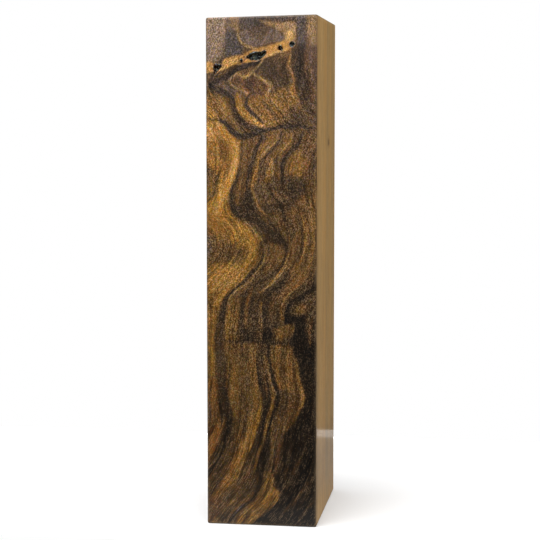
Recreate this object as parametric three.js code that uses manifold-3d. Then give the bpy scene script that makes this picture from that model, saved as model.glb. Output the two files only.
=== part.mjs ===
// A sawn and polished block of stabilized walnut, standing on one end.
// Millimetres, +Z up. The origin is at the middle of the bottom end.
// The figured front faces -Y, and the pale sapwood side faces +X.
import * as THREE from "three";
import { mergeVertices } from "three/addons/utils/BufferGeometryUtils.js";
import Module from "manifold-3d";

// Driving dimensions of the block
const WIDTH = 30.5;
const DEPTH = 45;
const HEIGHT = 140;
const TOP_DROP = 0.6; // the saw ran out of square, so the top's left edge is this much lower
const EDGE_ROUND = 0.6; // rounding of the four long edges
const END_EASE = 0.5; // easing of the edges round both ends
const ROUND_STEPS = 5;
const EASE_STEPS = 3;

// Cutting of the voids
const OVAL_POINTS = 6;
const OUTLINE_STEPS = 18; // points round a void's mouth
const CUTTER_OVERHANG = 1; // how far a void's cutter stands out of the face
const MERGE_WITHIN = 1e-4; // vertices closer than this are one
// A void narrows inwards: [share of its depth, share of its mouth's size]
const VOID_WALL = [
  [0, 1],
  [0.35, 0.92],
  [0.75, 0.72],
  [1, 0.4],
];

// The open voids left by bark pockets and pin knots on the front face. An outline goes anticlockwise, in
// points (x, z) about the void's own middle, which is at (x, z) on the face: x from the middle, z from the base.
const CHECK_DEPTH = 1.5;
const VOIDS = [
  {
    x: -1.3,
    z: 129.2,
    depth: CHECK_DEPTH,
    outline: [
      [-2.7, -0.4],
      [-1.6, -1.1],
      [0.1, -1.3],
      [1.6, -0.5],
      [2.8, 1.3],
      [0.5, 1.0],
      [-1.2, 0.8],
    ],
  },
  {
    x: -12.2,
    z: 126.0,
    depth: CHECK_DEPTH,
    outline: [
      [-0.8, 0.8],
      [-0.6, -1.4],
      [0.4, -0.5],
      [1.4, 0.7],
    ],
  },
  { x: -5.5, z: 127.9, depth: 0.9, outline: ovalOutline(0.28, 0.5) },
  { x: 5.2, z: 131.2, depth: 1.1, outline: ovalOutline(0.66, 0.8) },
  { x: 8.3, z: 132.2, depth: 0.7, outline: ovalOutline(0.8, 0.75) },
];

const wasm = await Module();
wasm.setup();

// Points round an oval of the two half sizes, across and up.
function ovalOutline(halfWidth, halfHeight) {
  return Array.from({ length: OVAL_POINTS }, (_, i) => {
    const turn = (2 * Math.PI * i) / OVAL_POINTS;
    return [halfWidth * Math.cos(turn), halfHeight * Math.sin(turn)];
  });
}

// A rectangle with round corners, centred on the origin.
function roundedRectangle(width, depth, radius) {
  const [right, back] = [width / 2 - radius, depth / 2 - radius];
  const quarter = Math.PI / 2;
  const shape = new THREE.Shape();
  shape.absarc(right, back, radius, 0, quarter);
  shape.absarc(-right, back, radius, quarter, 2 * quarter);
  shape.absarc(-right, -back, radius, 2 * quarter, 3 * quarter);
  shape.absarc(right, -back, radius, 3 * quarter, 4 * quarter);
  return shape;
}

// The sawn block with its edges eased and its top out of square.
function blockGeometry() {
  const geometry = new THREE.ExtrudeGeometry(roundedRectangle(WIDTH, DEPTH, EDGE_ROUND), {
    depth: HEIGHT - 2 * END_EASE,
    curveSegments: ROUND_STEPS,
    bevelThickness: END_EASE,
    bevelSize: END_EASE,
    bevelOffset: -END_EASE,
    bevelSegments: EASE_STEPS,
  });
  geometry.translate(0, 0, END_EASE);
  const position = geometry.getAttribute("position");
  for (let i = 0; i < position.count; i++) {
    const fromRight = 0.5 - position.getX(i) / WIDTH;
    position.setZ(i, position.getZ(i) * (1 - (TOP_DROP / HEIGHT) * fromRight));
  }
  return geometry;
}

// The space that one void takes out of the front face: rings of its outline, from outside the face
// down to its floor, closed by a middle point at each end.
function voidGeometry({ x, z, depth, outline }) {
  const mouth = new THREE.CatmullRomCurve3(
    outline.map(([across, up]) => new THREE.Vector3(across, 0, up)),
    true,
  );
  const ring = mouth.getPoints(OUTLINE_STEPS).slice(0, -1);
  const levels = [[-CUTTER_OVERHANG / depth, 1], ...VOID_WALL];
  const points = levels.flatMap(([inwards, size]) =>
    ring.map((p) => p.clone().multiplyScalar(size).setY(inwards * depth)),
  );
  const [outside, floor] = [points.length, points.length + 1];
  points.push(new THREE.Vector3(0, -CUTTER_OVERHANG, 0), new THREE.Vector3(0, depth, 0));

  const faces = [];
  const at = (level, i) => level * ring.length + (i % ring.length);
  for (let i = 0; i < ring.length; i++) {
    faces.push(outside, at(0, i), at(0, i + 1));
    for (let level = 0; level < levels.length - 1; level++) {
      faces.push(at(level, i), at(level + 1, i), at(level + 1, i + 1));
      faces.push(at(level, i), at(level + 1, i + 1), at(level, i + 1));
    }
    faces.push(at(levels.length - 1, i + 1), at(levels.length - 1, i), floor);
  }
  const geometry = new THREE.BufferGeometry().setFromPoints(points);
  geometry.setIndex(faces);
  geometry.translate(x, -DEPTH / 2, z);
  return geometry;
}

// A closed geometry as a solid that can be cut.
function solidFrom(geometry) {
  const bare = geometry.clone();
  bare.deleteAttribute("normal");
  bare.deleteAttribute("uv");
  const merged = mergeVertices(bare, MERGE_WITHIN);
  const made = new wasm.Manifold(
    new wasm.Mesh({
      numProp: 3,
      vertProperties: merged.getAttribute("position").array,
      triVerts: new Uint32Array(merged.index.array),
    }),
  );
  if (made.volume() <= 0) throw new Error("a geometry is inside out");
  return made;
}

// A solid as a geometry again.
function geometryFrom(solid) {
  const { vertProperties, triVerts } = solid.getMesh();
  const geometry = new THREE.BufferGeometry();
  geometry.setAttribute("position", new THREE.BufferAttribute(new Float32Array(vertProperties), 3));
  geometry.setIndex(new THREE.BufferAttribute(new Uint32Array(triVerts), 1));
  geometry.computeVertexNormals();
  return geometry;
}

const walnut = new THREE.MeshStandardMaterial({ color: 0x5a3d22, roughness: 0.35, metalness: 0 });

let solid = solidFrom(blockGeometry());
for (const hollow of VOIDS) solid = solid.subtract(solidFrom(voidGeometry(hollow)));

const block = new THREE.Mesh(geometryFrom(solid), walnut);
block.name = "walnut_block";

const part = new THREE.Group();
part.add(block);

export default part;
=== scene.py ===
import math

import bpy
import numpy as np
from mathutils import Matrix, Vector


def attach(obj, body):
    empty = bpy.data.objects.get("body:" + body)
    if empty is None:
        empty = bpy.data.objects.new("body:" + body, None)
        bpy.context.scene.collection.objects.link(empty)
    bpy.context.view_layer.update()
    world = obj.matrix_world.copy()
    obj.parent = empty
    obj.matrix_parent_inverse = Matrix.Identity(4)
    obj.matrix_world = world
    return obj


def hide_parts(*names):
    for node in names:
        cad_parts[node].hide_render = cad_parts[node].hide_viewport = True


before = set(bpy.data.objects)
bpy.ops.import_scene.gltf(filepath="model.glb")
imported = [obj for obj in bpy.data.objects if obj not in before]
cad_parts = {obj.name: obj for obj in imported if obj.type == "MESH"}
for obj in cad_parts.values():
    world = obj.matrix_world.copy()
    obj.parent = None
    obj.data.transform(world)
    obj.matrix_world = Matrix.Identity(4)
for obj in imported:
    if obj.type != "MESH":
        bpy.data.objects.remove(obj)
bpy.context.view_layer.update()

MM = 0.001
BODY = "root"
NODE = "walnut_block"
SEED = 11

# Sizes of the block, as in the CAD
WIDTH = 30.5
DEPTH = 45.0
HEIGHT = 140.0
TOP_DROP = 0.6
EDGE_ROUND = 0.6
END_EASE = 0.5
FRONT_Y = -DEPTH / 2
FLAT_X = WIDTH / 2 - EDGE_ROUND  # the front and the back are flat out to here
FLAT_Y = DEPTH / 2 - EDGE_ROUND  # and the two sides
CHECK_DEPTH = 1.5
SMALLEST_VOID = 0.2  # no void's half size is taken as less
VOID_RAGGED = 0.24  # how far the edge of a void strays
FLOOR_ROUGH = 0.22  # share of its depth by which the floor of a void rises
VOID_REACH = 5  # how far round its middle a void is painted
# Depth of a void from its edge inwards: shares of its half size, shares of its depth
VOID_WALL = ([0, 0.08, 0.28, 0.6, 1], [0, 0.4, 0.78, 1, 1])
# The pin knot of the sapwood face: its middle and its half sizes, as (y, z)
PIN_KNOT = (5.5, 105.5)
PIN_KNOT_SIZE = (1.9, 0.7)

# Spacing of the mesh
FRONT_STEP = 0.3
SIDE_STEP = 0.78
RIGHT_STEP = 1.0
END_STEP = 0.85
ARC_STEPS = 4  # round each long edge
EASE_STEPS = 3  # over the eased edge of each end
PATCH_SHARE = 3  # cells of a void's fine patch in one cell of the front
CORNER_GAP = 0.25  # from a front corner's last column to the side's first one
CAP_MARGIN = 1.1  # from the edge of an end to its grid

# Camera, solved from the corners of the block in the photograph
CAMERA_AT = (64.26, -439.28, 111.36)
CAMERA_YAW = 0.14739  # radians to the left
CAMERA_PITCH = -0.09512  # radians up
FOCAL_PIXELS = 1552.55
PHOTO_PIXELS = 540
SENSOR = 36.0

# The table
FLOOR_HALF = 350  # to the left and to the right
FLOOR_FRONT = -42
FLOOR_BACK = 101
FLOOR_COLOUR = (0.72, 0.72, 0.72, 1)

# Light: strengths are what a white card square to it would show
GLOW_HEIGHT = 2.6
GLOW_LIGHT = 4.5
SKY_LOW = 0.03
SKY_HIGH = 1.2
# Suns: name, strength, and in degrees the spread, the turn from the front to the right, the rise
SUNS = [
    ("key", 1.1, 75, -30, 50),
    ("fill", 0.3, 60, 75, 30),
]

# Colours of the wood, as sRGB values out of 255
TONES = {
    "yellow": (212, 166, 104),
    "amber": (186, 134, 68),
    "tan": (160, 126, 88),
    # painted sheen: the pale reflection over the upper left corner, as a tone
    "painted_sheen": (140, 116, 95),
    "mauve": (108, 88, 74),
    "slate": (80, 70, 65),
    "gold": (153, 109, 45),
    "honey": (126, 89, 41),
    "copper": (122, 80, 36),
    "brown": (98, 69, 35),
    "russet": (90, 58, 33),
    "umber": (74, 54, 32),
    "dark": (44, 32, 19),
    "black": (22, 14, 6),
    "pale": (184, 146, 92),
    "rim": (196, 168, 132),
    "pit": (18, 16, 14),
    "steel": (92, 104, 108),
    "plum": (84, 52, 50),
    "maroon": (86, 42, 34),
    # painted glints inside the voids
    "painted_glint": (170, 182, 178),
    "sapwood": (156, 121, 70),
    "sap_warm": (163, 125, 72),
    "sap_light": (164, 130, 80),
    "sap_grey": (144, 118, 76),
    "sap_brown": (120, 90, 52),
    "spark": (212, 178, 138),
    "worn": (190, 160, 120),
}
# The wood between the drawn marks: tone, and the range of lightness over which it sets in
BASE_TONES = [("umber", 0.15, 0.4), ("brown", 0.35, 0.6), ("honey", 0.65, 0.95)]
END_DARKER = 0.56  # end grain looks this much darker than the faces
CORNER_PAINTED_SHADE = 0.4  # painted shade: the round front edges are drawn this much darker
# Brightness of the wood by height: heights, factors
HEART_LIGHT = ([0, 9, 22, 36, 50, 66, 95, 120], [0.49, 0.56, 0.64, 0.59, 0.56, 0.77, 0.95, 1.02])
# Painted shade on the sapwood face, by height: darker towards the base, darkest 10 to 18 mm up
SAP_PAINTED_SHADE = ([0, 10, 18, 26, 50, 90, 140], [0.8, 0.58, 0.56, 0.74, 0.88, 1.12, 1.25])
UPPER_PAINTED_SHEEN = (0.004, 0.005, 0.009)  # painted sheen: pale reflected light added over the upper end
SAP_THICK = 4.2  # at the back
# Upright stripes of the sapwood: how far behind the front each lies, and its tone
SAP_STRIPES = [
    (0, "sapwood"),
    (4, "sap_light"),
    (12, "sap_light"),
    (20, "sap_warm"),
    (26, "sap_grey"),
    (33, "sapwood"),
    (40, "sap_grey"),
    (45, "sapwood"),
]

# How the figure runs on behind the front: its shift with each millimetre of depth, and how far it bends
DRIFT_X = 0.38
DRIFT_Z = 0.34
BEND_X = 5.0
BEND_Z = 8.0
FOLD_SLANT = 1.5  # drop of the figure where it folds back at the right edge

# The material along the grain. Each noise: length and width of its features, detail, shift
GRAIN_NOISES = {
    "broad": (7.0, 1.0, 2.0, 0.0),
    "fine": (3.2, 0.42, 2.0, 40.0),
    "fleck": (0.35, 0.28, 0.0, 90.0),
    "dash": (2.2, 0.2, 0.0, 520.0),
    "pore": (1.5, 0.3, 1.0, 150.0),
    "warm": (2.6, 0.9, 1.0, 220.0),
    "thread": (36.0, 1.7, 1.0, 300.0),
    "pale_thread": (30.0, 1.6, 1.0, 380.0),
    "fade": (14.0, 3.0, 1.0, 450.0),
    "hue": (0.4, 0.5, 0.0, 0.0),
}
# What the material reads from the vertices, besides the colour of the figure
SHADER_FIELDS = (
    "ring", "sapwood", "hollow", "wear", "streaks", "speckle", "granular", "tinted", "glints"
)
SAP_STREAKS = 0.26  # strength of the streaks in the sapwood
LIGHT_SPECK = 2.05  # brightness of the finest specks
DARK_SPECK = 0.33
# Colour factors from grain to grain
HUE_SPREAD = (1.1, 0.0, 3.0)
HUE_BASE = (0.45, 1.0, -0.5)
COOL_TINT = (0.96, 1.02, 1.02, 1)
WARM_TINT = (1.06, 0.98, 0.9, 1)
DARK_GRAIN_TINT = (1.05, 0.98, 0.72, 1)
LIGHT_GRAIN_TINT = (0.95, 1.02, 1.22, 1)
SPARK_SHARE = 0.17  # how much a lit grain takes of the spark tone
WEAR_SHARE = 0.16  # how much a rubbed edge takes of the worn tone
POLISH_ROUGHNESS = (0.34, 0.44)  # from streak to streak
PORE_DEPTH = 0.05

# Areas of the figure: tone, softness of the edge, strength, outline. A point is (x, z) on the
# front face, x from its left edge and z from its base.
AREAS = [
    # Upper end, over the gold band
    # Painted sheen: pale reflected light over the upper left corner
    ("painted_sheen", 1.3, 0.95, [(-2, 142), (5.4, 142), (5.7, 136), (5.2, 131), (4.4, 128.6), (-2, 127.6)]),
    ("slate", 0.8, 0.35, [(-2, 135), (0.9, 134), (1.4, 131), (1.6, 128), (-2, 128)]),
    ("tan", 0.7, 0.7, [(6.7, 142), (9.2, 142), (8.9, 136.8), (7.7, 135.6), (6.9, 137.5)]),
    ("mauve", 0.5, 0.6, [(5.5, 139.5), (6.7, 139.4), (6.8, 136), (5.8, 135.6)]),
    ("slate", 0.9, 0.9, [(5.7, 136), (8.7, 135.2), (9, 132.5), (10.4, 131), (9.4, 129.6), (6.5, 129.3),
     (5.2, 130.6)]),
    ("slate", 0.9, 0.75, [(9.4, 142), (14.6, 142), (15.2, 137.6), (12, 136.1), (9.6, 136.4)]),
    ("slate", 0.7, 0.75, [(15, 142), (27, 142), (26, 138.6), (20, 138.4), (16, 138.9)]),
    ("mauve", 0.45, 0.95, [(9.6, 135.4), (12, 136.2), (16, 136.8), (19, 136), (21, 134.4), (21.4, 133.3),
     (19, 132.6), (15, 131.9), (12.5, 131.7), (10.5, 132.4), (9.6, 133.6)]),
    ("umber", 0.8, 0.6, [(11.6, 137), (17.6, 137.2), (16.6, 135), (13, 134.6), (11.2, 135.6)]),
    ("tan", 0.6, 0.9, [(15, 138.4), (17, 138.1), (20, 137.8), (24.2, 137.6), (24.4, 134.5), (23.9, 132.6),
     (22.5, 132.4), (21.9, 134.2), (20, 135.9), (17.4, 137)]),
    ("yellow", 0.45, 0.95, [(21.9, 133), (22.2, 135.5), (23.3, 135.8), (23.9, 134.6), (23.8, 132.8),
     (22.8, 132.3)]),
    ("slate", 0.6, 0.9, [(24.7, 142), (27.3, 142), (27.6, 136), (27.3, 131), (25.2, 131.4), (24.8, 136)]),
    ("dark", 0.7, 0.7, [(25, 131.8), (27, 131.5), (26.7, 127), (27.2, 122.5), (28.4, 118), (27.2, 116.4),
     (25.2, 118.8), (24.4, 122), (23.5, 125), (23.1, 129.2)]),
    ("russet", 0.7, 0.6, [(27.6, 136), (32, 136), (32, 116), (28.6, 117.8), (27.5, 122), (27.1, 127)]),
    ("mauve", 0.9, 0.5, [(27.4, 136), (32, 136), (32, 122), (28.4, 124)]),
    ("tan", 0.9, 0.8, [(27.9, 142), (32, 142), (32, 133.2), (28.4, 132.6)]),
    # The gold band and the sharp fold under it
    ("umber", 0.7, 0.8, [(-2, 125), (3, 124), (1.3, 121.6), (2, 119.6), (-2, 119.9)]),
    ("amber", 0.35, 0.95, [(-1, 127.2), (1.2, 127.6), (2.4, 127), (2.5, 125.4), (1.6, 124.8), (-1, 125)]),
    ("amber", 0.4, 0.95, [(2.7, 124.4), (5.5, 125.9), (8.5, 126.9), (11, 127.4), (14, 128), (16.5, 128.7),
     (19.5, 130), (22.4, 130.1), (23.3, 130.8), (23.6, 132.2), (22.4, 133.2), (20.5, 132.8), (18.3, 132.1),
     (16, 131.4), (13, 130.8), (11, 129.9), (9.3, 129.3), (7, 128.8), (5, 128.1), (4.4, 127),
     (3.4, 125.8)]),
    ("mauve", 0.6, 0.6, [(2.2, 121.8), (5, 123), (8, 124.2), (6.6, 122.6), (8, 121), (9.6, 119.8),
     (9, 118), (7.6, 117.2), (5.6, 118.4), (3.3, 119.8)]),
    ("umber", 0.6, 0.85, [(15.2, 127.3), (17, 128.6), (20, 129), (22, 128.5), (22.4, 126), (23.3, 124),
     (23.8, 121.5), (22, 120.8), (19.5, 119.8), (18.4, 121), (17, 122.6), (15.3, 123.8), (14.9, 125.5)]),
    ("dark", 0.9, 0.55, [(15.6, 126.8), (18, 127.2), (20.3, 125), (20.6, 122.5), (18.6, 121.8),
     (16.2, 123.4)]),
    ("russet", 0.8, 0.8, [(8.6, 123.8), (11, 122.6), (13.5, 124), (15, 122.6), (17.4, 121), (17.4, 119.5),
     (14, 117.2), (12, 117.6), (10, 120.5), (7.2, 122.2)]),
    ("dark", 0.5, 0.6, [(10.8, 122.6), (13, 122.4), (13, 120.8), (11.2, 120.6)]),
    ("honey", 0.8, 0.8, [(-2, 119.6), (2, 119.2), (5, 117.7), (6.6, 115.4), (7.2, 113), (5, 112.2),
     (-2, 112.6)]),
    ("honey", 0.8, 0.9, [(13, 118.2), (18, 118.8), (24, 121.4), (25.4, 117), (24, 114), (21.4, 111),
     (16.6, 110.8), (15.8, 111.8), (13.6, 114.4), (12.2, 116.6)]),
    ("umber", 0.8, 0.8, [(21.4, 113.6), (25, 116.4), (27.5, 117), (32, 116.4), (32, 111.6), (27, 110.6),
     (22, 110.6)]),
    ("brown", 0.6, 0.8, [(5, 112), (8, 113.8), (11.5, 110.5), (13.5, 109.4), (11, 108.3), (8.6, 108.8),
     (6.6, 110.3)]),
    # The gold flank on the left
    ("gold", 0.7, 0.95, [(-2, 111.8), (4, 111.2), (6.2, 108.8), (8, 107), (9.6, 106), (9.4, 102),
     (8.6, 98.5), (7.3, 95.5), (6.2, 93), (5.9, 90.5), (5.9, 88), (7, 86), (9, 84.4), (11.5, 82.8),
     (13.6, 80.6), (14.8, 78.6), (14.4, 75.4), (12.6, 71.8), (10.8, 69.2), (8.6, 66.8), (6.2, 64.9),
     (4.2, 62.6), (3, 60), (2.2, 56), (2, 50), (1.8, 43), (1, 40), (-2, 40)]),
    ("amber", 0.8, 0.75, [(-2, 111.4), (3.4, 111.1), (5.4, 108.7), (6.4, 107), (4, 106.4), (-2, 107.3)]),
    ("copper", 1.2, 0.55, [(1, 106), (5.6, 105.6), (6.2, 99.5), (4.2, 96.8), (1, 99.8)]),
    ("umber", 0.7, 0.75, [(-2, 99.2), (1.8, 98.6), (2.8, 96), (2, 93), (1.2, 91.2), (-2, 89.6)]),
    ("copper", 1.2, 0.6, [(-2, 86), (3, 86.6), (6.6, 84), (8, 81), (5, 79.6), (-2, 81)]),
    ("umber", 1.8, 0.85, [(-2, 84), (1, 82), (3, 80), (6, 79.2), (9, 78.2), (11.4, 76), (9.6, 73.6),
     (6, 72.6), (3, 72.4), (-2, 72)]),
    ("slate", 0.8, 0.6, [(-2, 81.6), (1.1, 80), (1.7, 77), (0.6, 74.6), (-2, 74.4)]),
    ("amber", 1.4, 0.8, [(3, 71.6), (8, 71.8), (11.4, 71.4), (10.2, 69.2), (8.4, 67), (6, 65.8), (3, 65.6),
     (1, 67)]),
    ("copper", 1.2, 0.5, [(-2, 63), (2, 63), (3, 60.5), (1.6, 58.6), (-2, 59)]),
    # Between the wavy line and the S of dark wood
    ("brown", 0.5, 0.85, [(9.8, 106.8), (13.6, 107), (14, 104.5), (12.5, 100.5), (11.5, 96.5),
     (10.7, 93.5), (9.8, 93), (8.5, 96), (9.2, 99.5), (9.8, 103)]),
    ("dark", 0.5, 0.8, [(8.7, 99.6), (10, 98), (10, 94), (9.2, 92), (7.8, 90.8), (6.4, 91.8), (7.3, 95),
     (8.2, 97.6)]),
    ("brown", 1, 0.8, [(15, 107.5), (20, 108.6), (26, 109.4), (32, 109), (32, 93), (27, 95), (20, 96),
     (14, 94), (14, 100)]),
    ("honey", 1, 0.8, [(22.8, 103), (25, 104), (27.2, 102.6), (27.8, 100), (26.8, 97.6), (25, 96.6),
     (23, 97.4), (22.2, 100)]),
    ("russet", 0.8, 0.7, [(26, 104.5), (28.4, 102.5), (28.8, 99), (27.6, 96), (26.8, 97), (27.8, 100),
     (27, 102.8), (25.4, 104)]),
    ("umber", 0.8, 0.9, [(20.5, 96.4), (24, 97), (27.6, 95.6), (27.4, 92), (26.5, 88.5), (24, 86.4),
     (19, 86.2), (17, 87.4), (15.4, 90), (15.6, 94), (18, 96)]),
    ("dark", 0.7, 0.6, [(22.6, 95.6), (27, 95), (27, 91), (25.6, 88.4), (19, 87), (17, 88.6), (19.6, 89.8),
     (23, 91.6)]),
    ("brown", 1, 0.85, [(22.5, 86), (27, 92), (32, 94), (32, 69), (29, 68.6), (24, 64), (21.4, 64),
     (20.4, 69), (22, 73), (22.8, 77), (22.6, 80.6)]),
    ("umber", 0.7, 0.6, [(17, 86), (22.6, 86), (24.6, 83.6), (24.6, 80), (22.4, 80.4), (20.4, 81.6),
     (18.6, 83.6)]),
    ("umber", 0.6, 0.9, [(13, 94), (15.8, 94.4), (15.6, 90), (17.2, 87), (19, 84.6), (20.8, 82),
     (22.4, 79.4), (22.6, 77), (21, 76), (18, 78.6), (15.6, 80), (13, 82), (11, 84), (8.4, 85.4),
     (6.8, 87.4), (9, 90)]),
    ("dark", 0.5, 0.9, [(6.8, 92.6), (6.3, 89.5), (6.9, 87.3), (8.6, 85.6), (11, 84.6), (13.6, 83.4),
     (15.6, 81.6), (17, 79.4), (18.6, 78.4), (20.4, 78), (21.6, 77.6), (21.6, 79.3), (20.2, 81),
     (18.4, 82.4), (16.6, 83.8), (15, 85.6), (14, 88), (13.4, 90.5), (12.7, 93), (11, 93.6), (10.6, 91.6),
     (9.6, 90.6), (8.4, 91)]),
    ("brown", 0.6, 0.85, [(9.8, 98), (10.7, 96.4), (10.6, 93), (10.2, 90.4), (9, 89), (8, 89.6),
     (7.9, 92.4), (8.8, 95.6)]),
    ("honey", 0.4, 0.4, [(9.6, 95.4), (10, 93.4), (9.7, 91), (9, 90.2), (8.7, 92.4)]),
    ("brown", 0.4, 0.85, [(16.4, 77.8), (18.4, 77.8), (20.8, 77.2), (21, 75), (20, 72.6), (18, 71.2),
     (16.4, 71.8), (16.3, 75)]),
    # Lower half
    ("umber", 0.9, 0.8, [(13.5, 70.5), (20, 71), (23, 70), (22, 67), (20, 63), (21, 57), (19, 54),
     (18, 46), (13, 46), (9.6, 48), (9.4, 60), (11, 65)]),
    ("dark", 0.7, 0.6, [(14.4, 66.4), (17.6, 67), (18.4, 62), (18.2, 58), (18.4, 54), (15.6, 54),
     (15.4, 58), (14.4, 62)]),
    ("honey", 0.9, 0.55, [(5.4, 62), (9.4, 63), (9.2, 56), (9.4, 48), (9.6, 38), (8.6, 30), (6.4, 33),
     (5.8, 44), (5.2, 53)]),
    ("brown", 0.7, 0.9, [(28.8, 70), (26, 67.2), (23.6, 65.2), (21.4, 63.9), (20.2, 61.4), (20.2, 57),
     (21.6, 56.5), (22, 60), (23.4, 62.6), (27, 65), (30, 67.4)]),
    ("black", 0.22, 1, [(31, 69), (29, 66.4), (27, 65.1), (25, 64.1), (23.3, 63), (22.1, 60.9), (21.6, 58),
     (21.8, 56.6), (23.9, 56.8), (24.6, 56), (24.2, 54.4), (23.6, 53), (22.9, 51.5), (23.2, 50.3),
     (25, 49.6), (26, 47), (32, 46), (33, 60)]),
    ("umber", 0.6, 0.85, [(24, 62), (26, 63), (28, 64.3), (32, 66), (32, 59.4), (28, 58.9), (25.5, 58.8),
     (23.8, 59), (23.3, 60.5)]),
    ("honey", 0.6, 0.6, [(24.8, 61.6), (27.2, 61.9), (27.2, 59.7), (25, 59.1), (24.1, 59.8)]),
    ("umber", 0.7, 0.8, [(28, 58.4), (32, 59), (32, 49.8), (29, 50.4), (28, 53), (27.6, 56)]),
    ("honey", 0.35, 0.75, [(18.8, 55.4), (20, 54.9), (21.4, 55.8), (23.4, 56.4), (24.2, 55.4), (23.6, 54),
     (22, 52.6), (20.7, 52), (19.4, 53.2)]),
    ("black", 0.5, 0.95, [(15.7, 53.6), (16.8, 54.8), (18.2, 54.6), (18.6, 52.8), (18, 51.2), (16.4, 51.1),
     (15.5, 52.4)]),
    ("dark", 0.7, 0.8, [(10, 54.8), (12.4, 54.7), (13.7, 53), (12.6, 51.6), (10.4, 51.8)]),
    ("honey", 1, 0.5, [(5.8, 49.6), (9, 49.6), (9, 37), (6.4, 34)]),
    ("honey", 0.8, 0.65, [(10, 50.2), (13.6, 50.2), (14.2, 46), (14.2, 42), (14.4, 38), (13.4, 34.6),
     (10, 36), (9.8, 44)]),
    ("umber", 0.8, 0.6, [(9.8, 41), (12.6, 41), (12.6, 35), (11.5, 33), (9.5, 34)]),
    ("honey", 0.45, 0.8, [(18, 50.6), (20.5, 50.6), (23.4, 49.4), (25, 46.6), (25.9, 43.4), (26.5, 40),
     (26.9, 37.4), (26.2, 35), (24.6, 36.8), (22, 37.9), (20, 38.6), (19, 41), (18.2, 44), (17.9, 47.4)]),
    ("copper", 0.8, 0.5, [(21, 46.6), (23.6, 46), (24.4, 42), (24, 39.6), (21.6, 39.8), (20.6, 43)]),
    ("brown", 0.8, 0.8, [(20.5, 37.4), (24, 37.2), (27.2, 36.6), (26.8, 34.6), (25.6, 32.2), (24, 29.8),
     (22.4, 27.4), (20.8, 26), (19.6, 29), (20, 33)]),
    ("umber", 0.8, 0.7, [(19.8, 38), (22.6, 37.6), (23.6, 35.4), (22, 31.5), (20, 31), (19.6, 34)]),
    ("black", 0.4, 0.95, [(24.6, 50), (25.3, 46), (25.9, 42), (26.5, 39), (27.5, 36.5), (27.2, 34.6),
     (26.1, 32), (24.6, 29.5), (22.8, 27), (21.4, 24.5), (20.9, 20), (20.6, 16), (19.2, 13), (19.2, 10.2),
     (20.9, 9.2), (20.2, 6.6), (17.2, 4), (14.6, 2), (12.6, -1), (32, -1), (33, 30), (33, 50)]),
    ("copper", 0.8, 0.75, [(-2, 41), (2.6, 40), (3.4, 36), (3.2, 31), (4, 28), (3.7, 25.5), (2.6, 22),
     (1.2, 19), (-0.2, 16.6), (-2, 14.6)]),
    ("copper", 0.7, 0.5, [(1.4, 37), (3, 36.4), (3, 30), (3.8, 26), (2.4, 22), (0.6, 24), (1.6, 30)]),
    ("slate", 0.6, 0.5, [(-2, 35), (0.9, 34), (0.8, 29), (-2, 28)]),
    ("brown", 0.8, 0.7, [(8, 34), (12.4, 34), (12, 28), (11, 24), (9.6, 20), (7.6, 17), (6, 17), (7, 22),
     (7.6, 28)]),
    ("umber", 0.8, 0.7, [(6, 23), (8.6, 22), (8.2, 18), (6.6, 15), (4.4, 13), (5, 17)]),
    ("umber", 0.9, 0.85, [(-2, 13), (3, 15), (6, 12), (9, 14), (13, 16), (15, 12), (12, 8), (8, 5),
     (4, 1.5), (-2, 1)]),
    ("brown", 0.9, 0.6, [(1, 8), (4, 10.4), (7, 12.6), (7.6, 11), (5, 8.6), (2.4, 6)]),
    ("brown", 0.9, 0.6, [(4.6, 5.6), (7.4, 6.4), (7, 4.4), (5, 2.6), (3.2, 3.4)]),
    ("russet", 0.8, 0.5, [(-2, 7), (2.6, 8), (4.6, 5), (2, 1), (-2, -1)]),
    ("honey", 0.5, 0.5, [(1.8, 1.6), (3.4, 1.8), (3.6, -1), (1.4, -1)]),
    ("honey", 0.45, 0.9, [(17.9, 15.6), (18.5, 13), (18.6, 10.8), (20.2, 9.4), (19.8, 7.4), (18, 5.3),
     (15.6, 3), (13, 1.4), (10.8, -1), (7.6, -1), (8.8, 1.8), (11.2, 4), (13.6, 6.4), (15.1, 9),
     (15.9, 12), (16.8, 15)]),
]

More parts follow.
